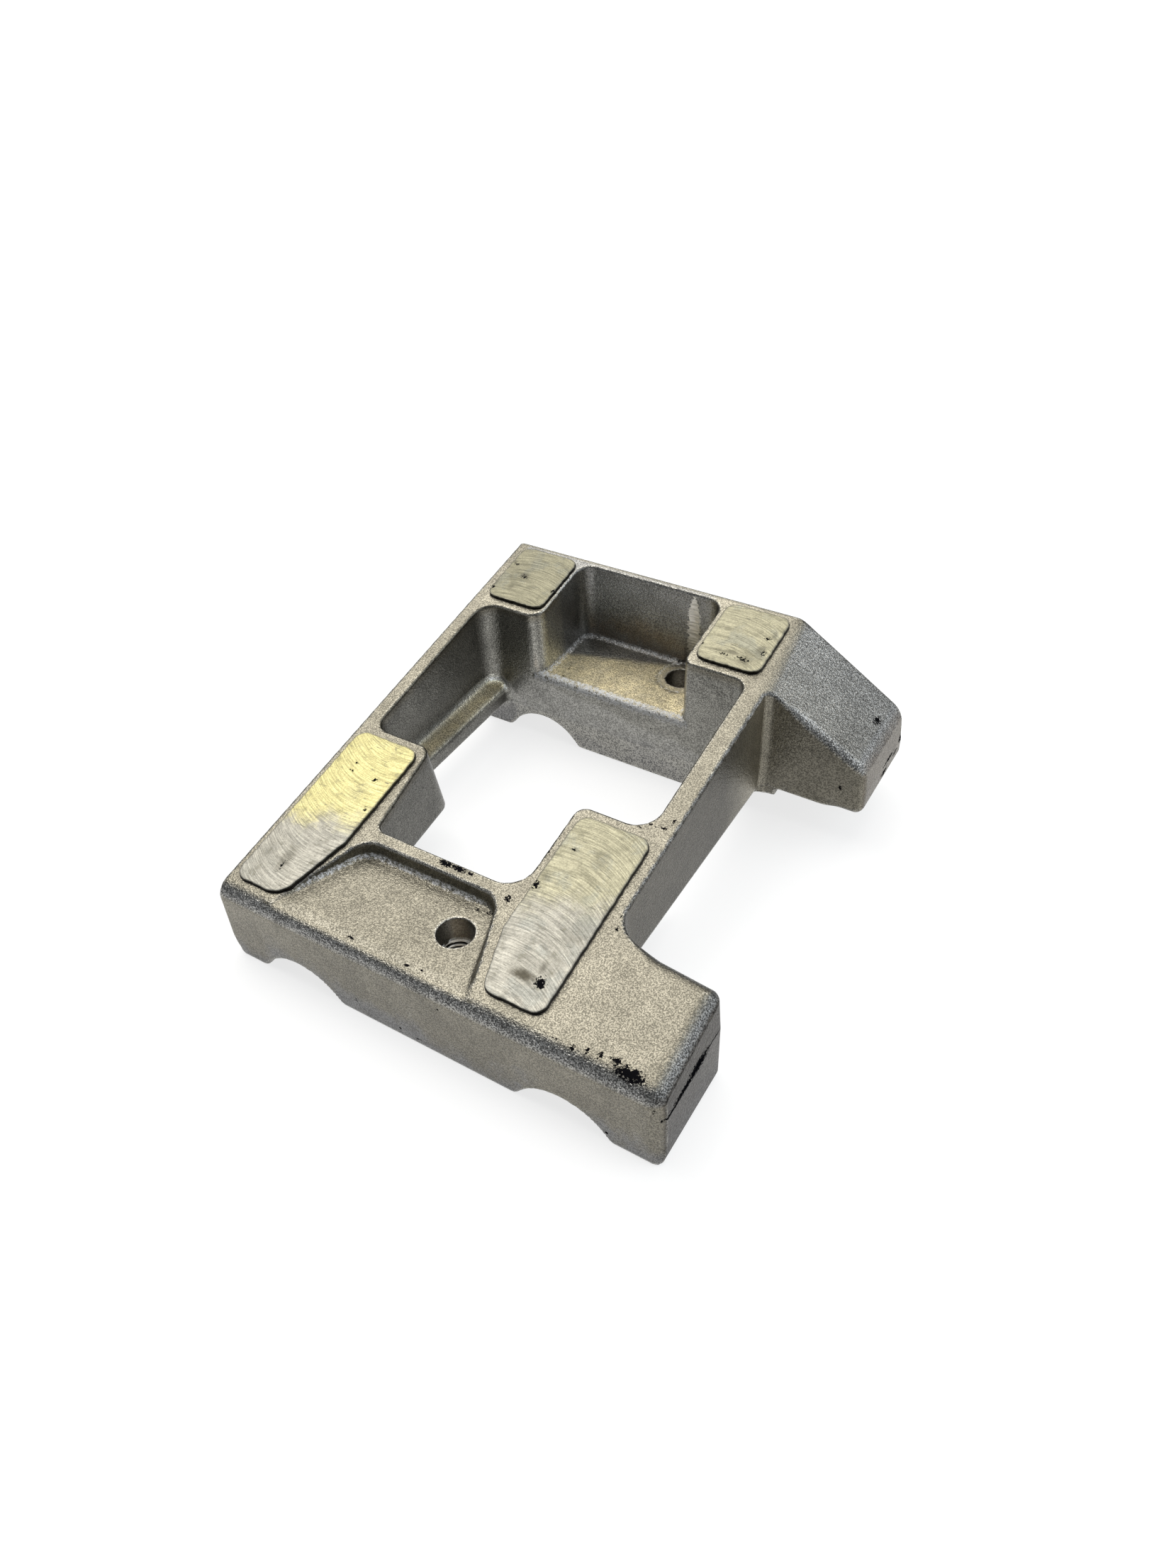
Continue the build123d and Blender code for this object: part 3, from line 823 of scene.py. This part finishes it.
# Black specks on the casting: centre and half size in mm, and how much of them is filled
CAST_SPECKS = (
    ((65.2, -16.6, 29.3), (3.7, 1.5, 2.5), 1.25),
    ((60.8, -15.0, 29.7), (1.8, 1.3, 1.5), 0.75),
    ((56.4, -15.4, 29.6), (0.9, 1.2, 1.2), 0.75),
    ((52.8, -16.0, 29.4), (0.6, 1.3, 1.2), 0.8),
    ((48.9, -17.0, 29.2), (1.3, 1.2, 1.2), 0.65),
    ((44.0, -16.6, 29.2), (2.2, 0.5, 1.0), 0.35),
    ((-14.2, 16.2, 35.2), (2.2, 0.9, 1.2), 1.15),
    ((-9.8, 16.2, 35.2), (2.8, 0.8, 1.2), 1.05),
    ((-5.6, 16.2, 35.2), (1.1, 0.7, 1.2), 0.95),
    ((9.2, 13.7, 34.8), (1.5, 1.5, 1.5), 0.75),
    ((4.6, 10.6, 29.1), (2.0, 1.6, 1.4), 0.35),
    ((0.6, 10.0, 29.1), (2.2, 1.0, 1.0), 0.15),
    ((6.2, 8.0, 29.1), (0.6, 2.2, 1.0), 0.1),
    ((-38.6, 124.0, 28.6), (1.2, 3.6, 0.8), 0.2),
    ((-38.0, 118.6, 28.6), (0.9, 0.7, 0.8), 0.6),
    ((10.6, 32.4, 38.0), (1.0, 2.3, 1.4), 0.85),
    ((33.0, 53.1, 41.7), (2.2, 0.7, 1.6), 0.55),
    ((30.8, 51.0, 41.3), (1.2, 0.6, 1.5), 0.4),
    ((42.0, 18.2, 35.6), (0.8, 1.6, 1.5), 0.4),
    ((41.0, 22.5, 36.4), (0.6, 1.6, 1.5), 0.35),
    ((37.2, 53.6, 41.6), (1.4, 0.7, 1.6), 0.7),
    ((39.2, 57.0, 42.2), (0.7, 1.6, 1.6), 0.7),
    ((71.4, 137.9, 35.0), (1.3, 1.9, 1.8), 0.9),
    ((71.4, 137.9, 35.0), (2.2, 0.8, 2.0), 0.95),
    ((70.8, 117.4, 34.5), (0.7, 0.4, 0.7), 0.8),
    ((68.9, 115.2, 22.3), (0.6, 1.0, 1.0), 0.85),
    ((-24.7, -16.0, 28.9), (1.0, 0.8, 1.0), 0.8),
    ((-4.7, -16.1, 28.9), (0.9, 0.6, 1.0), 0.75),
    ((-0.2, -15.6, 29.0), (0.5, 0.4, 0.8), 0.7),
    ((-24.0, -20.5, 6.7), (0.5, 0.6, 0.8), 0.8),
    ((-8.2, -20.5, 3.6), (0.4, 0.6, 0.4), 0.9),
    ((-1.8, -20.5, 2.7), (1.1, 0.6, 0.35), 0.7),
    ((7.9, -20.5, 22.5), (0.4, 0.6, 0.4), 0.9),
    ((60.2, -20.5, 4.3), (0.6, 1.0, 0.5), 0.8),
    ((74.2, -20.3, 23.4), (0.9, 0.9, 1.0), 0.75),
    ((76.5, -0.6, 20.9), (1.6, 4.4, 1.7), 1.3),
    ((76.5, -7.0, 20.3), (1.6, 6.5, 1.1), 1.2),
    ((76.5, -14.5, 19.5), (1.6, 6.0, 0.7), 1.1),
    ((76.5, 7.0, 21.3), (1.6, 8.0, 0.4), 0.8),
    ((76.8, 149.7, 21.6), (1.2, 1.6, 1.8), 1.0),
    ((76.9, 145.4, 18.6), (1.2, 2.6, 0.9), 0.8),
    ((76.9, 139.0, 20.4), (1.2, 4.6, 0.9), 0.9),
    ((76.9, 135.2, 17.4), (1.2, 3.0, 1.4), 0.8),
)


def cast_material(look, s):
    """Blasted cast skin: grain, blotches, a painted cool reflection with painted glints on the
    slants, warm floors, painted light and shade from the tone, edges lit by wear and a painted
    highlight, rough skin with a painted highlight on the lip and feet, pits and specks.

    Each coat lies over the ones before it. What is given for x, y and z is in mm.
    """
    skin = Finish("cast skin", look.cast)
    place = put(skin.tree, "SeparateXYZ", {"Vector": skin.where})
    x, y, z = (place[axis] / MM for axis in range(3))
    grain = skin.pattern("blasted grain", Size=look.grain)
    fleck = grain["Fleck"]
    wide = skin.pattern("blotches", Size=look.blotch)
    small = skin.pattern("blotches", Size=look.blotch * 0.3)
    slant, floor, burr, smooth = map(skin.attribute, ("slant", "floor", "burr", "smooth"))
    skin.coat(skin.attribute("inside"), look.inner)
    # The cool coat on faces turned between upright and level is a painted reflection of the cool
    # light
    skin.coat(slant, look.cool)
    skin.coat(smooth * 0.4, look.cool)
    skin.coat(skin.attribute("clean") * 0.8, look.clean)
    skin.coat(floor * (small * 0.5 + 0.4), look.warm)
    skin.coat((wide * 12 + z).step(20, 6), look.foot)
    skin.coat((small * 0.4 + 0.28) * skin.attribute("stain"), look.stain)
    # The tone multiplies in mostly painted shade and painted light, by face direction and place,
    # with the bores' brown stain darker and the smoother low skin lighter
    skin.coat(1.0, skin.attribute("painted_light_and_stain_tone"), "MULTIPLY")
    skin.shade(wide, 1.08, 0.86)
    skin.shade(small, 1.06, 0.92)
    skin.shade(fleck, 0.68, 1.32)
    # Stronger sparkle on the slants: painted glints
    skin.shade(fleck, 0.62, 1.38, slant)

    # Edges lit up by wear and a painted highlight, kept off edges in painted shade; the turned rims
    # of the bolt holes, and the spotface
    skin.coat(skin.attribute("bend").step(0.3, 1.0) * fleck.step(0.0, 0.8) * 0.75, look.worn)
    beyond, hole = y - s.bolt_spacing, s.shank_diameter / 2
    rims = [ring(x, forward, hole - 0.2, hole + 0.4, 0.25) for forward in (y, beyond)]
    skin.coat(figure("MAXIMUM", *rims) * 0.2, look.worn)
    disc = ring(x, beyond, hole + 0.1, s.spotface_diameter / 2 - 0.3, 0.6)
    skin.coat(disc * z.step(s.recess_floor + 1, s.recess_floor + 0.5) * 0.3, look.turned)

    # The strip on the back wall that the spotface's cutter grazed, marked across
    marks = cloudy(put(skin.tree, "CombineXYZ", {0: x * 0.06, 2: z * 0.9}), 1.0, 2.0, 0.6)
    side = figure("ABSOLUTE", x) + (marks - 0.5) * 5 + figure("MAXIMUM", z - 50, 0.0) * 0.25
    strip = side.step(2.5, 2.1) * z.step(31, 36) * z.step(57.5, 56.5)
    strip = strip * y.step(144, 145) * y.step(147.5, 147)
    bright = marks.step(0.35, 0.65) * 0.6 + 0.65
    skin.coat(strip, mixed(skin.tree, 1.0, look.milled, bright, "MULTIPLY"))

    # Pits, the rough skin with its painted highlight, and the specks
    cells = put(skin.tree, "TexVoronoi", {"Vector": skin.where, "Scale": PIT_GRAIN})
    chosen = put(skin.tree, "SeparateXYZ", {"Vector": cells["Color"]})
    pit = (cells["Distance"] - (chosen * 0.16 - 0.09)).step(0.02, -0.02)
    skin.coat(pit * 0.85, look.pit)
    crumbs = (cloudy(skin.where, 1000.0, 4.0, 0.8) * 4.0 + burr).step(2.3, 3.1)
    crumbs = crumbs * burr.step(0.0, 0.35)
    skin.coat(crumbs, look.burr)
    bare = skin.speckle(CAST_SPECKS, look.paint)
    depth = slant * 0.0001 - smooth * 0.00008 + burr * 0.0003 + 0.00016
    bump = {"Strength": 1.0, "Distance": depth, "Height": grain["Height"]}
    metallic = figure("MAXIMUM", bare - crumbs * 0.9, 0.0)
    return skin.done(metallic, floor * 0.2 - fleck * 0.1 + 0.4, bump)


def new_piece(name, points, faces, material, masks=None, crisp=None):
    """A piece from points in mm, faces and the masks that its material reads. Where crisp is
    given, edges that bend by more degrees than that stay sharp."""
    mesh = bpy.data.meshes.new(name)
    mesh.from_pydata(points * MM, [], faces)
    mesh.materials.append(material)
    mesh.shade_smooth()
    if crisp:
        mesh.set_sharp_from_angle(angle=radians(crisp))
    for mask, values in (masks or {}).items():
        layer = mesh.attributes.new(mask, "FLOAT", "POINT")
        layer.data.foreach_set("value", values.astype(np.float32))
    piece = bpy.data.objects.new(name, mesh)
    bpy.context.scene.collection.objects.link(piece)
    return piece


def settle_on_frame(piece):
    """The piece rides with the solid."""
    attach(piece, BODY)


class MOUNT_OT_casting(bpy.types.Operator):
    """Draw the casting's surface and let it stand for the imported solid"""

    bl_idname = "mount.casting"
    bl_label = "Casting"

    def execute(self, context):
        s = measures(context.scene.mount_casting)
        low, high = [np.array(corner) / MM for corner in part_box(NODE)]

        def field(x, y, z):
            return casting_field(x, y, z, s)

        points, faces = drawn_surface(field, low - 2 * s.cell, high + 2 * s.cell, s.cell)
        points = settled(field, points, 3)
        normals = gradient(field, points, 0.05)
        normals /= np.linalg.norm(normals, axis=1)[:, None]
        masks = skin_masks(field, points, normals, s)
        material = cast_material(context.scene.mount_finish, s)
        piece = new_piece("casting", points, faces.tolist(), material, masks)
        piece.data.normals_split_custom_set_from_vertices(normals)
        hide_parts(NODE)
        settle_on_frame(piece)
        return {"FINISHED"}


def skin_masks(field, points, normals, s):
    """Each point's bend, painted light and shade, and share of each kind of skin, from its place
    and normal.

    Every mask is a product of ramps: of the point's place in the frame, its depth below the
    seat, and how far its normal points across, along or up. Places are in mm from the left and
    front faces and the feet, and a ramp is given where it starts and how wide it is.
    """
    x, y, z = points.T
    across, along = x + s.left_face, y + s.front_face
    below = -over_seat(along, z, s)
    sideways, forward, upward = normals.T
    bend = bending(field, points, 0.6)
    fronting = ramp((-forward - 0.7) / 0.2)
    facing_up = ramp((upward - 0.5) / 0.4)
    inner = (across > s.left_wall - 1.5) & (across < s.body_width - s.right_wall + 1.5)
    inner &= (along > s.front_bar - 0.5) & (along < s.body_length - s.back_wall + 1)
    pocket = (below > 0.3) & (z > s.pocket_floor - 0.2) & (along < s.pocket_back + 1)
    pocket &= (across > s.pocket_front_left - 1) & (across < s.pocket_front_right + 1)
    recess = inner & (along > s.back_bar + 0.8) & (z > s.recess_floor - 0.5)
    shadowed = ramp((sideways - 0.15) / 0.3) * ramp((bend - 0.2) / 0.4)
    shadowed = shadowed * (1 - recess) * (below < 4)
    walls = ramp((0.75 - upward) / 0.4)
    # Slant: how far a face outside the opening is turned between upright and level; it carries the
    # painted cool reflection and the painted glints
    slant = ramp((0.975 - upward) / 0.22) * ramp((upward - 0.12) / 0.3) * (1 - (inner | pocket))

    # Rough skin with a painted highlight: the back bar's lip, and the hollows at the feet of the
    # inner walls
    lip = inner * ramp((s.back_bar + 3.8 - along) / 1.8) * ramp((along - s.back_bar + 0.6) / 0.6)
    lip = lip * ramp((z - s.recess_floor + 3.6) / 2.2) * (z < s.recess_floor + 0.4)
    lip = lip * ramp((across - s.back_left_side + 5) / 2)
    lip = lip * ramp((s.back_right_side + 4 - across) / 2)
    # The concave feet of the walls get the painted highlight
    foot = ramp((-0.06 - bend) / 0.25) * ramp((upward - 0.05) / 0.25)
    rise = z - np.where(pocket, s.pocket_floor, s.recess_floor)
    foot = foot * ramp((2.6 - rise) / 1.0)
    foot = foot * (0.7 * recess + 0.95 * pocket * ramp((-forward - 0.05) / 0.3))
    foot = foot * (1 - pocket * ramp((0.1 - sideways) / 0.3) * ramp((across - 70) / 5))

    # Clean skin back left on the recess's floor and in the bores, and the stains
    across_face = ramp((sideways - 0.72) / 0.2)
    behind = along - s.front_face - (132.0 + 0.3 * (across - 33.0))
    clean = recess * ramp(behind / 4 + 0.5) * ramp((84 - across) / 6)
    bore = np.hypot(x, y) < s.shank_diameter / 2 + 0.1
    brown = bore * ramp((0.92 * y - 0.4 * x - 4.4) / 1.0)
    clean = np.maximum(clean, bore - brown)
    stain = recess * fronting * ramp((46 - z - 0.25 * np.abs(across - 52)) / 9)
    stain = np.maximum(stain, 0.9 * across_face * (across > s.front_reach - 4))
    stain = np.maximum(stain, 0.8 * brown)

    # Painted shade on the right rail's outer side and the other faces turned to the right, and
    # painted shade and highlight on the flange's top and rim along the left
    back_end = (across > s.body_width + 5) & (along > s.back_bar - 6)
    rail = np.abs(across - s.body_width) < 2
    dim = 0.36 + rail * (0.19 - 1.6 * ramp((along - 104) / 30))
    painted_light_and_stain_tone = 1 - dim * across_face * (1 - recess) * (1 - back_end)
    flange = inner & (across < s.left_wall + s.flange_width + 1) & (z < s.parting + 3)
    flange = flange * ramp((upward - 0.1) / 0.3) * (along < s.back_bar - 1)
    # Painted shade on the flange's top near the front, and a painted highlight on its rim, both
    # rising towards the back
    far = ramp((along - 95) / 38) ** 2
    rim = ramp((0.78 - upward) / 0.2)
    level = (0.4 + 0.75 * far) * (1 - rim) + (1.3 + 3 * far) * rim

    # What else is darker or brighter: painted shade on the ends, on edges in shadow, on the left
    # boss's side and on the back extension's front; painted light on the pocket's walls and on the
    # recess's walls and floor; the bores brighter and their brown stain darker; the back bar's
    # front a little darker and its smoother low skin lighter
    front_end = 1 - back_end
    bar_front = inner * (along < s.back_bar + 1) * fronting
    low = s.parting - 0.14 * (x + 3.5) + 0.7 * np.sin(0.23 * x)
    smooth = bar_front * ramp((low - z) / 1.2)
    # Painted light on the pocket's walls, strongest on its right wall near the front
    fading = pocket * walls * ramp((-sideways - 0.3) / 0.4) * ramp((24 - along) / 18)
    left_boss = inner * across_face * ramp((s.boss_length - 1 - along) / 3)
    # Painted light on the recess's back wall, stronger on the left
    shade = recess * fronting * (0.75 - 0.4 * ramp((across - 60) / 30))
    side = (across > s.body_width + 2) & (along > s.back_bar - 4)
    changes = (
        (-0.3, across_face * (across > s.back_reach - 3) * back_end),
        (-0.68, across_face * ramp((across - s.front_reach + 4) / 2) * front_end),
        (-0.28, ramp((across - s.front_reach + 7) / 3) * front_end * slant),
        (-0.4, shadowed),
        (1.0, flange * (level - 1)),
        (0.6, pocket * walls),
        (1.5, fading * (across > 70)),
        (-0.28, left_boss * (across < s.body_width / 2)),
        (1.0, 1.3 * across_face * recess + shade),
        (0.3, recess * facing_up),
        (-0.3, side * fronting),
        (0.7, bore),
        (-0.3, brown),
        (-0.08, bar_front),
        (0.12, smooth),
    )
    for change, mask in changes:
        painted_light_and_stain_tone = painted_light_and_stain_tone * (1 + change * mask)
    return {
        # The bend that lights up the edges is cut back on edges in painted shade
        "bend": bend * (1 - 0.9 * shadowed),
        "slant": slant,
        "inside": inner * ramp((below - 0.5) / 4) * walls,
        "floor": inner * ramp((below - 3) / 4) * facing_up * (1 - 0.9 * clean),
        "clean": clean,
        "burr": np.maximum(0.86 * lip, 0.78 * foot),
        "stain": stain,
        "painted_light_and_stain_tone": painted_light_and_stain_tone,
        "smooth": smooth,
    }


def pad_material(name, look, s, level, bow, middle, tint, specks, smears):
    """Fly-cut metal: arcs of one radius, stepped by the cutter's pitch, under dirt and smudges;
    each pad at its own level of painted light or shade, with painted shade and dirt on its edge and
    round its foot.
    """
    pad = Finish(name, look.machined)
    flat = put(pad.tree, "Mapping", {"Vector": pad.where, "Rotation": (-s.seat_angle, 0, 0)})
    place = put(pad.tree, "SeparateXYZ", {"Vector": flat})
    x, y = place[0] / MM, place[1] / MM
    sideways = x - middle
    arc = (look.cut_radius / MM) ** 2 - sideways * sideways
    arc = figure("SQRT", figure("MAXIMUM", arc, 0.0)) * bow
    streak = {0: (y - arc) / (look.cut_pitch / MM), 1: x * 0.09}
    cut = cloudy(put(pad.tree, "CombineXYZ", streak), 1.0, 3.0, 0.7)
    wide = pad.pattern("blotches", Size=look.blotch * 0.6)
    patchy = pad.pattern("blotches", Vector=flat, Size=look.blotch * 0.22)
    fleck = pad.pattern("blasted grain", Size=look.grain * 1.3)["Fleck"]
    pad.coat((cut * 8 + y - sideways * 0.4 + wide * 6).step(23, 35), getattr(look, tint))
    pad.coat(wide.step(0.6, 1.0) * (0.1 if tint == "yellow" else 0.3), look.smudge)
    # The arcs at this pad's own level: painted light or shade, one level per pad
    pad.shade(cut.step(0.34, 0.66), 0.72 * level, 1.24 * level)
    slanting = {"Vector": flat, "Rotation": (0, 0, 0.5), "Scale": (260, 1900, 260)}
    scratch = cloudy(put(pad.tree, "Mapping", slanting), 1.0, 1.0).step(0.68, 0.76)
    pad.coat(scratch * 0.7, look.scratch)
    for centre, half, depth in smears:
        away = ellipsoid(pad.where, Vector(centre) * MM, Vector(half) * MM) + (patchy - 0.5) * 0.5
        pad.coat(away.step(1.1, 0.2) * depth, look.smear)
    pad.coat(patchy.step(0.8, 1.0) * fleck * 0.6, look.dirt)
    pad.shade(fleck, 0.9, 1.1)
    # Painted shade and dirt on the pad's rounded edge and on the skirt round its foot
    pad.coat(pad.attribute("outer").step(0.2, 0.9) * 0.5, look.pad_edge_dirt_and_shade)
    pad.coat(pad.attribute("height").step(0.8, 0.2), look.pad_foot_dirt_and_shade)
    bare = pad.speckle(specks, look.paint)
    bump = {"Strength": 0.7, "Distance": 0.1 * MM, "Height": cut}
    return pad.done(bare, patchy * 0.12 + 0.3, bump)


# For each pad: its painted brightness, one level of painted light or shade per pad, which way its
# cutter's arcs bow, their middle in mm and the tint over its back; then its specks, and its smears:
# centre and half size in mm, and depth
PAD_LOOKS = {
    "pad_front_left": (
        (0.93, -1.0, -52.0, "yellow"),
        (
            ((-52.8, 31.8, 39.1), (0.9, 0.9, 1.5), 0.75),
            ((-62.3, 32.3, 39.2), (1.2, 0.5, 1.5), 0.65),
            ((-62.8, 35.3, 39.8), (1.0, 0.4, 1.5), 0.6),
            ((-48.5, 21.4, 37.3), (0.9, 1.2, 1.5), 0.55),
            ((-58.8, -6.0, 32.5), (0.9, 3.0, 2.0), 0.5),
        ),
        (((-59.4, -3.5, 33.0), (2.5, 5.5, 4.0), 0.5), ((-66.0, -3.0, 33.0), (3.0, 5.0, 4.0), 0.2)),
    ),
    "pad_front_right": (
        (0.84, 1.0, 20.0, "straw"),
        (
            ((32.2, -5.6, 32.5), (1.6, 1.8, 1.5), 0.95),
            ((14.7, 20.3, 37.1), (1.2, 1.7, 2.0), 0.8),
            ((18.2, 35.3, 39.8), (2.5, 1.0, 1.5), 0.15),
        ),
        (
            ((27.0, -5.6, 32.5), (4.6, 2.3, 4.0), 1.0),
            ((30.6, -1.5, 33.4), (1.4, 3.2, 3.0), 0.5),
            ((15.5, 24.0, 37.8), (2.5, 3.0, 3.0), 0.35),
            ((26.9, 35.2, 39.7), (3.0, 5.0, 3.0), 0.25),
            ((33.8, 11.9, 35.6), (4.0, 6.0, 3.0), 0.25),
        ),
    ),
    "pad_back_left": (
        (0.72, 1.0, -58.0, "straw"),
        (
            ((-66.9, 135.9, 57.5), (1.5, 1.2, 1.5), 0.5),
            ((-60.4, 131.1, 56.7), (2.0, 1.5, 1.5), 0.4),
            ((-68.2, 122.5, 55.1), (0.8, 1.5, 1.5), 0.6),
            ((-46.6, 128.4, 56.2), (1.0, 1.2, 1.5), 0.7),
        ),
        (
            ((-63.0, 134.0, 57.0), (6.0, 7.0, 4.0), 0.22),
            ((-68.4, 137.1, 57.7), (1.4, 1.4, 2.0), 0.5),
            ((-60.8, 131.7, 56.7), (1.9, 1.6, 2.0), 0.6),
            ((-68.8, 125.0, 55.5), (1.2, 3.0, 2.0), 0.45),
            ((-62.3, 125.0, 55.5), (1.9, 2.2, 2.0), 0.35),
            ((-65.0, 129.5, 56.3), (1.6, 1.6, 2.0), 0.4),
        ),
    ),
    "pad_back_right": (
        (0.96, 1.0, 20.0, "straw"),
        (
            ((32.7, 134.4, 57.2), (1.6, 1.2, 1.5), 0.55),
            ((29.4, 122.9, 55.2), (3.0, 1.8, 1.5), 0.5),
            ((22.7, 122.8, 55.2), (3.0, 0.7, 1.5), 0.5),
            ((34.0, 127.5, 56.0), (1.5, 2.5, 1.5), 0.45),
            ((13.9, 124.7, 55.5), (0.7, 0.7, 1.5), 0.8),
        ),
        (
            ((31.0, 125.0, 55.6), (5.0, 4.5, 4.0), 0.3),
            ((24.4, 124.5, 55.5), (3.0, 1.3, 3.0), 0.55),
            ((30.3, 122.1, 55.1), (2.2, 2.2, 3.0), 0.6),
            ((33.0, 128.7, 56.2), (1.7, 3.0, 3.0), 0.5),
            ((34.2, 136.6, 57.6), (1.2, 2.2, 3.0), 0.5),
            ((21.3, 123.9, 55.4), (4.0, 0.9, 3.0), 0.4),
        ),
    ),
}


class MOUNT_OT_pads(bpy.types.Operator):
    """Build the four machined pads"""

    bl_idname = "mount.pads"
    bl_label = "Pads"

    def execute(self, context):
        s, p = measures(context.scene.mount_casting), measures(context.scene.mount_pads)
        for name, corners in pad_corners(s, p).items():
            radii = np.full(len(corners), p.corner)
            if name == "pad_front_left":
                radii[1] = p.front_left_nose_corner
            points, faces, outer = pad_surface(corners, radii, s, p)
            height = over_seat(points[:, 1] + s.front_face, points[:, 2], s) / p.height
            cut, specks, smears = PAD_LOOKS[name]
            material = pad_material(name, context.scene.mount_finish, s, *cut, specks, smears)
            masks = {"height": height, "outer": outer}
            settle_on_frame(new_piece(name, points, faces, material, masks, CRISP))
        return {"FINISHED"}


def thread_material(look):
    """Tapped metal, with painted shade at the roots of its turns and a painted highlight on their
    crests and on the cone.
    """
    metal = Finish("tapped metal", look.thread_root_shade)
    metal.coat(metal.attribute("crest").step(0.3, 0.95), look.thread_crest_highlight)
    grain = metal.pattern("blasted grain", Size=look.grain)
    metal.shade(grain["Height"].step(0.5, 1.1), 0.75, 1.05)
    return metal.done(1.0, 0.3)


class MOUNT_OT_threads(bpy.types.Operator):
    """Cut the threads in the two bolt holes"""

    bl_idname = "mount.threads"
    bl_label = "Threads"

    def execute(self, context):
        s, t = measures(context.scene.mount_casting), measures(context.scene.mount_threads)
        material = thread_material(context.scene.mount_finish)
        for name, bolt_y, floor in (
            ("thread_front", 0, s.pocket_floor),
            ("thread_back", s.bolt_spacing, s.recess_floor),
        ):
            points, faces, crests = thread_surface(bolt_y, floor, s, t)
            settle_on_frame(new_piece(name, points, faces, material, {"crest": crests}, CRISP))
        return {"FINISHED"}


def floor_material(settings):
    """A pale floor that takes the shadow, with a little more brightness for camera and gloss."""
    material, tree = new_material("floor")
    tree.nodes.remove(tree.nodes["Principled BSDF"])
    plain = put(tree, "BsdfDiffuse", {"Color": (*settings.floor_colour, 1)})
    path = put(tree, "LightPath", {})
    seen = figure("MAXIMUM", path["Is Camera Ray"], path["Is Glossy Ray"])
    seen = figure("MAXIMUM", seen, path["Is Transmission Ray"])
    glow = seen * settings.floor_glow
    bright = put(tree, "Emission", {"Color": (1, 1, 1, 1), "Strength": glow})
    both = put(tree, "AddShader", {0: plain, 1: bright})
    feed(tree.nodes["Material Output"].inputs["Surface"], both)
    return material


def soft_light(name, strength, width, tint, towards):
    """A distant round light that spans an angle, towards one direction."""
    light = bpy.data.lights.new(name, "SUN")
    light.energy = strength
    light.angle = width
    light.color = tint
    lamp = bpy.data.objects.new(name, light)
    lamp.rotation_euler = Vector(towards).to_track_quat("Z", "Y").to_euler()
    bpy.context.scene.collection.objects.link(lamp)


def set_camera(scene):
    """The photograph's camera: its place, axes, lens and framing."""
    data = bpy.data.cameras.new("camera")
    data.lens = 26.25
    data.sensor_width = 36
    data.shift_x = 0.0124
    data.shift_y = -0.0074
    data.clip_start = 0.01
    camera = bpy.data.objects.new("camera", data)
    right = Vector((0.8504, 0.5239, -0.0488))
    up = Vector((-0.3116, 0.5761, 0.7556))
    turn = Matrix((right, up, right.cross(up))).transposed()
    camera.matrix_world = Matrix.Translation((0.14919, -0.15894, 0.27123)) @ turn.to_4x4()
    scene.collection.objects.link(camera)
    scene.camera = camera


class MOUNT_OT_stage(bpy.types.Operator):
    """Set up the floor, the soft lights and the camera"""

    bl_idname = "mount.stage"
    bl_label = "Stage"

    def execute(self, context):
        scene = context.scene
        settings = scene.mount_stage
        scene.view_settings.view_transform = "Standard"
        half = 15 / MM
        corners = np.array([(-half, -half, 0), (half, -half, 0), (half, half, 0), (-half, half, 0)])
        new_piece("floor", corners, [[0, 1, 2, 3]], floor_material(settings))
        world = bpy.data.worlds.new("surroundings")
        scene.world = world
        world.use_nodes = True
        background = world.node_tree.nodes["Background"]
        background.inputs["Color"].default_value = (0.87, 0.93, 1.0, 1)
        background.inputs["Strength"].default_value = settings.surroundings
        soft_light("key", settings.key, settings.key_width, (1, 0.975, 0.92), (-0.33, 0.36, 0.87))
        soft_light("lamp", settings.lamp, settings.lamp_width, (1, 0.98, 0.95), (-0.43, 0.1, 0.89))
        cool, right = (0.88, 0.94, 1), (0.72, 0.28, 0.62)
        soft_light("window", settings.window, settings.window_width, cool, right)
        set_camera(scene)
        return {"FINISHED"}


class MOUNT_PT_sidebar(bpy.types.Panel):
    """Sizes, colours and steps of the mount"""

    bl_idname = "MOUNT_PT_sidebar"
    bl_label = "Kart engine mount"
    bl_space_type = "VIEW_3D"
    bl_region_type = "UI"
    bl_category = "Mount"

    def draw(self, context):
        for operator in OPERATORS:
            self.layout.operator(operator.bl_idname)
        for group in GROUPS:
            settings = getattr(context.scene, group)
            for name, prop in settings.bl_rna.properties.items():
                if prop.type == "FLOAT":
                    self.layout.prop(settings, name)


GROUPS = {
    "mount_casting": CastingSizes,
    "mount_pads": PadSizes,
    "mount_threads": ThreadSizes,
    "mount_finish": Finishes,
    "mount_stage": StageSettings,
}
OPERATORS = (MOUNT_OT_stage, MOUNT_OT_casting, MOUNT_OT_pads, MOUNT_OT_threads)


def register():
    """Register the sizes, the steps and the panel."""
    for name, group in GROUPS.items():
        bpy.utils.register_class(group)
        setattr(bpy.types.Scene, name, PointerProperty(type=group))
    for operator in (*OPERATORS, MOUNT_PT_sidebar):
        bpy.utils.register_class(operator)


def unregister():
    """Undo register(), last first."""
    for operator in reversed((*OPERATORS, MOUNT_PT_sidebar)):
        bpy.utils.unregister_class(operator)
    for name, group in reversed(GROUPS.items()):
        delattr(bpy.types.Scene, name)
        bpy.utils.unregister_class(group)


def main():
    """Build everything in order."""
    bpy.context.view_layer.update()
    register()
    bpy.ops.mount.stage()
    bpy.ops.mount.casting()
    bpy.ops.mount.pads()
    bpy.ops.mount.threads()


if __name__ == "__main__":
    main()
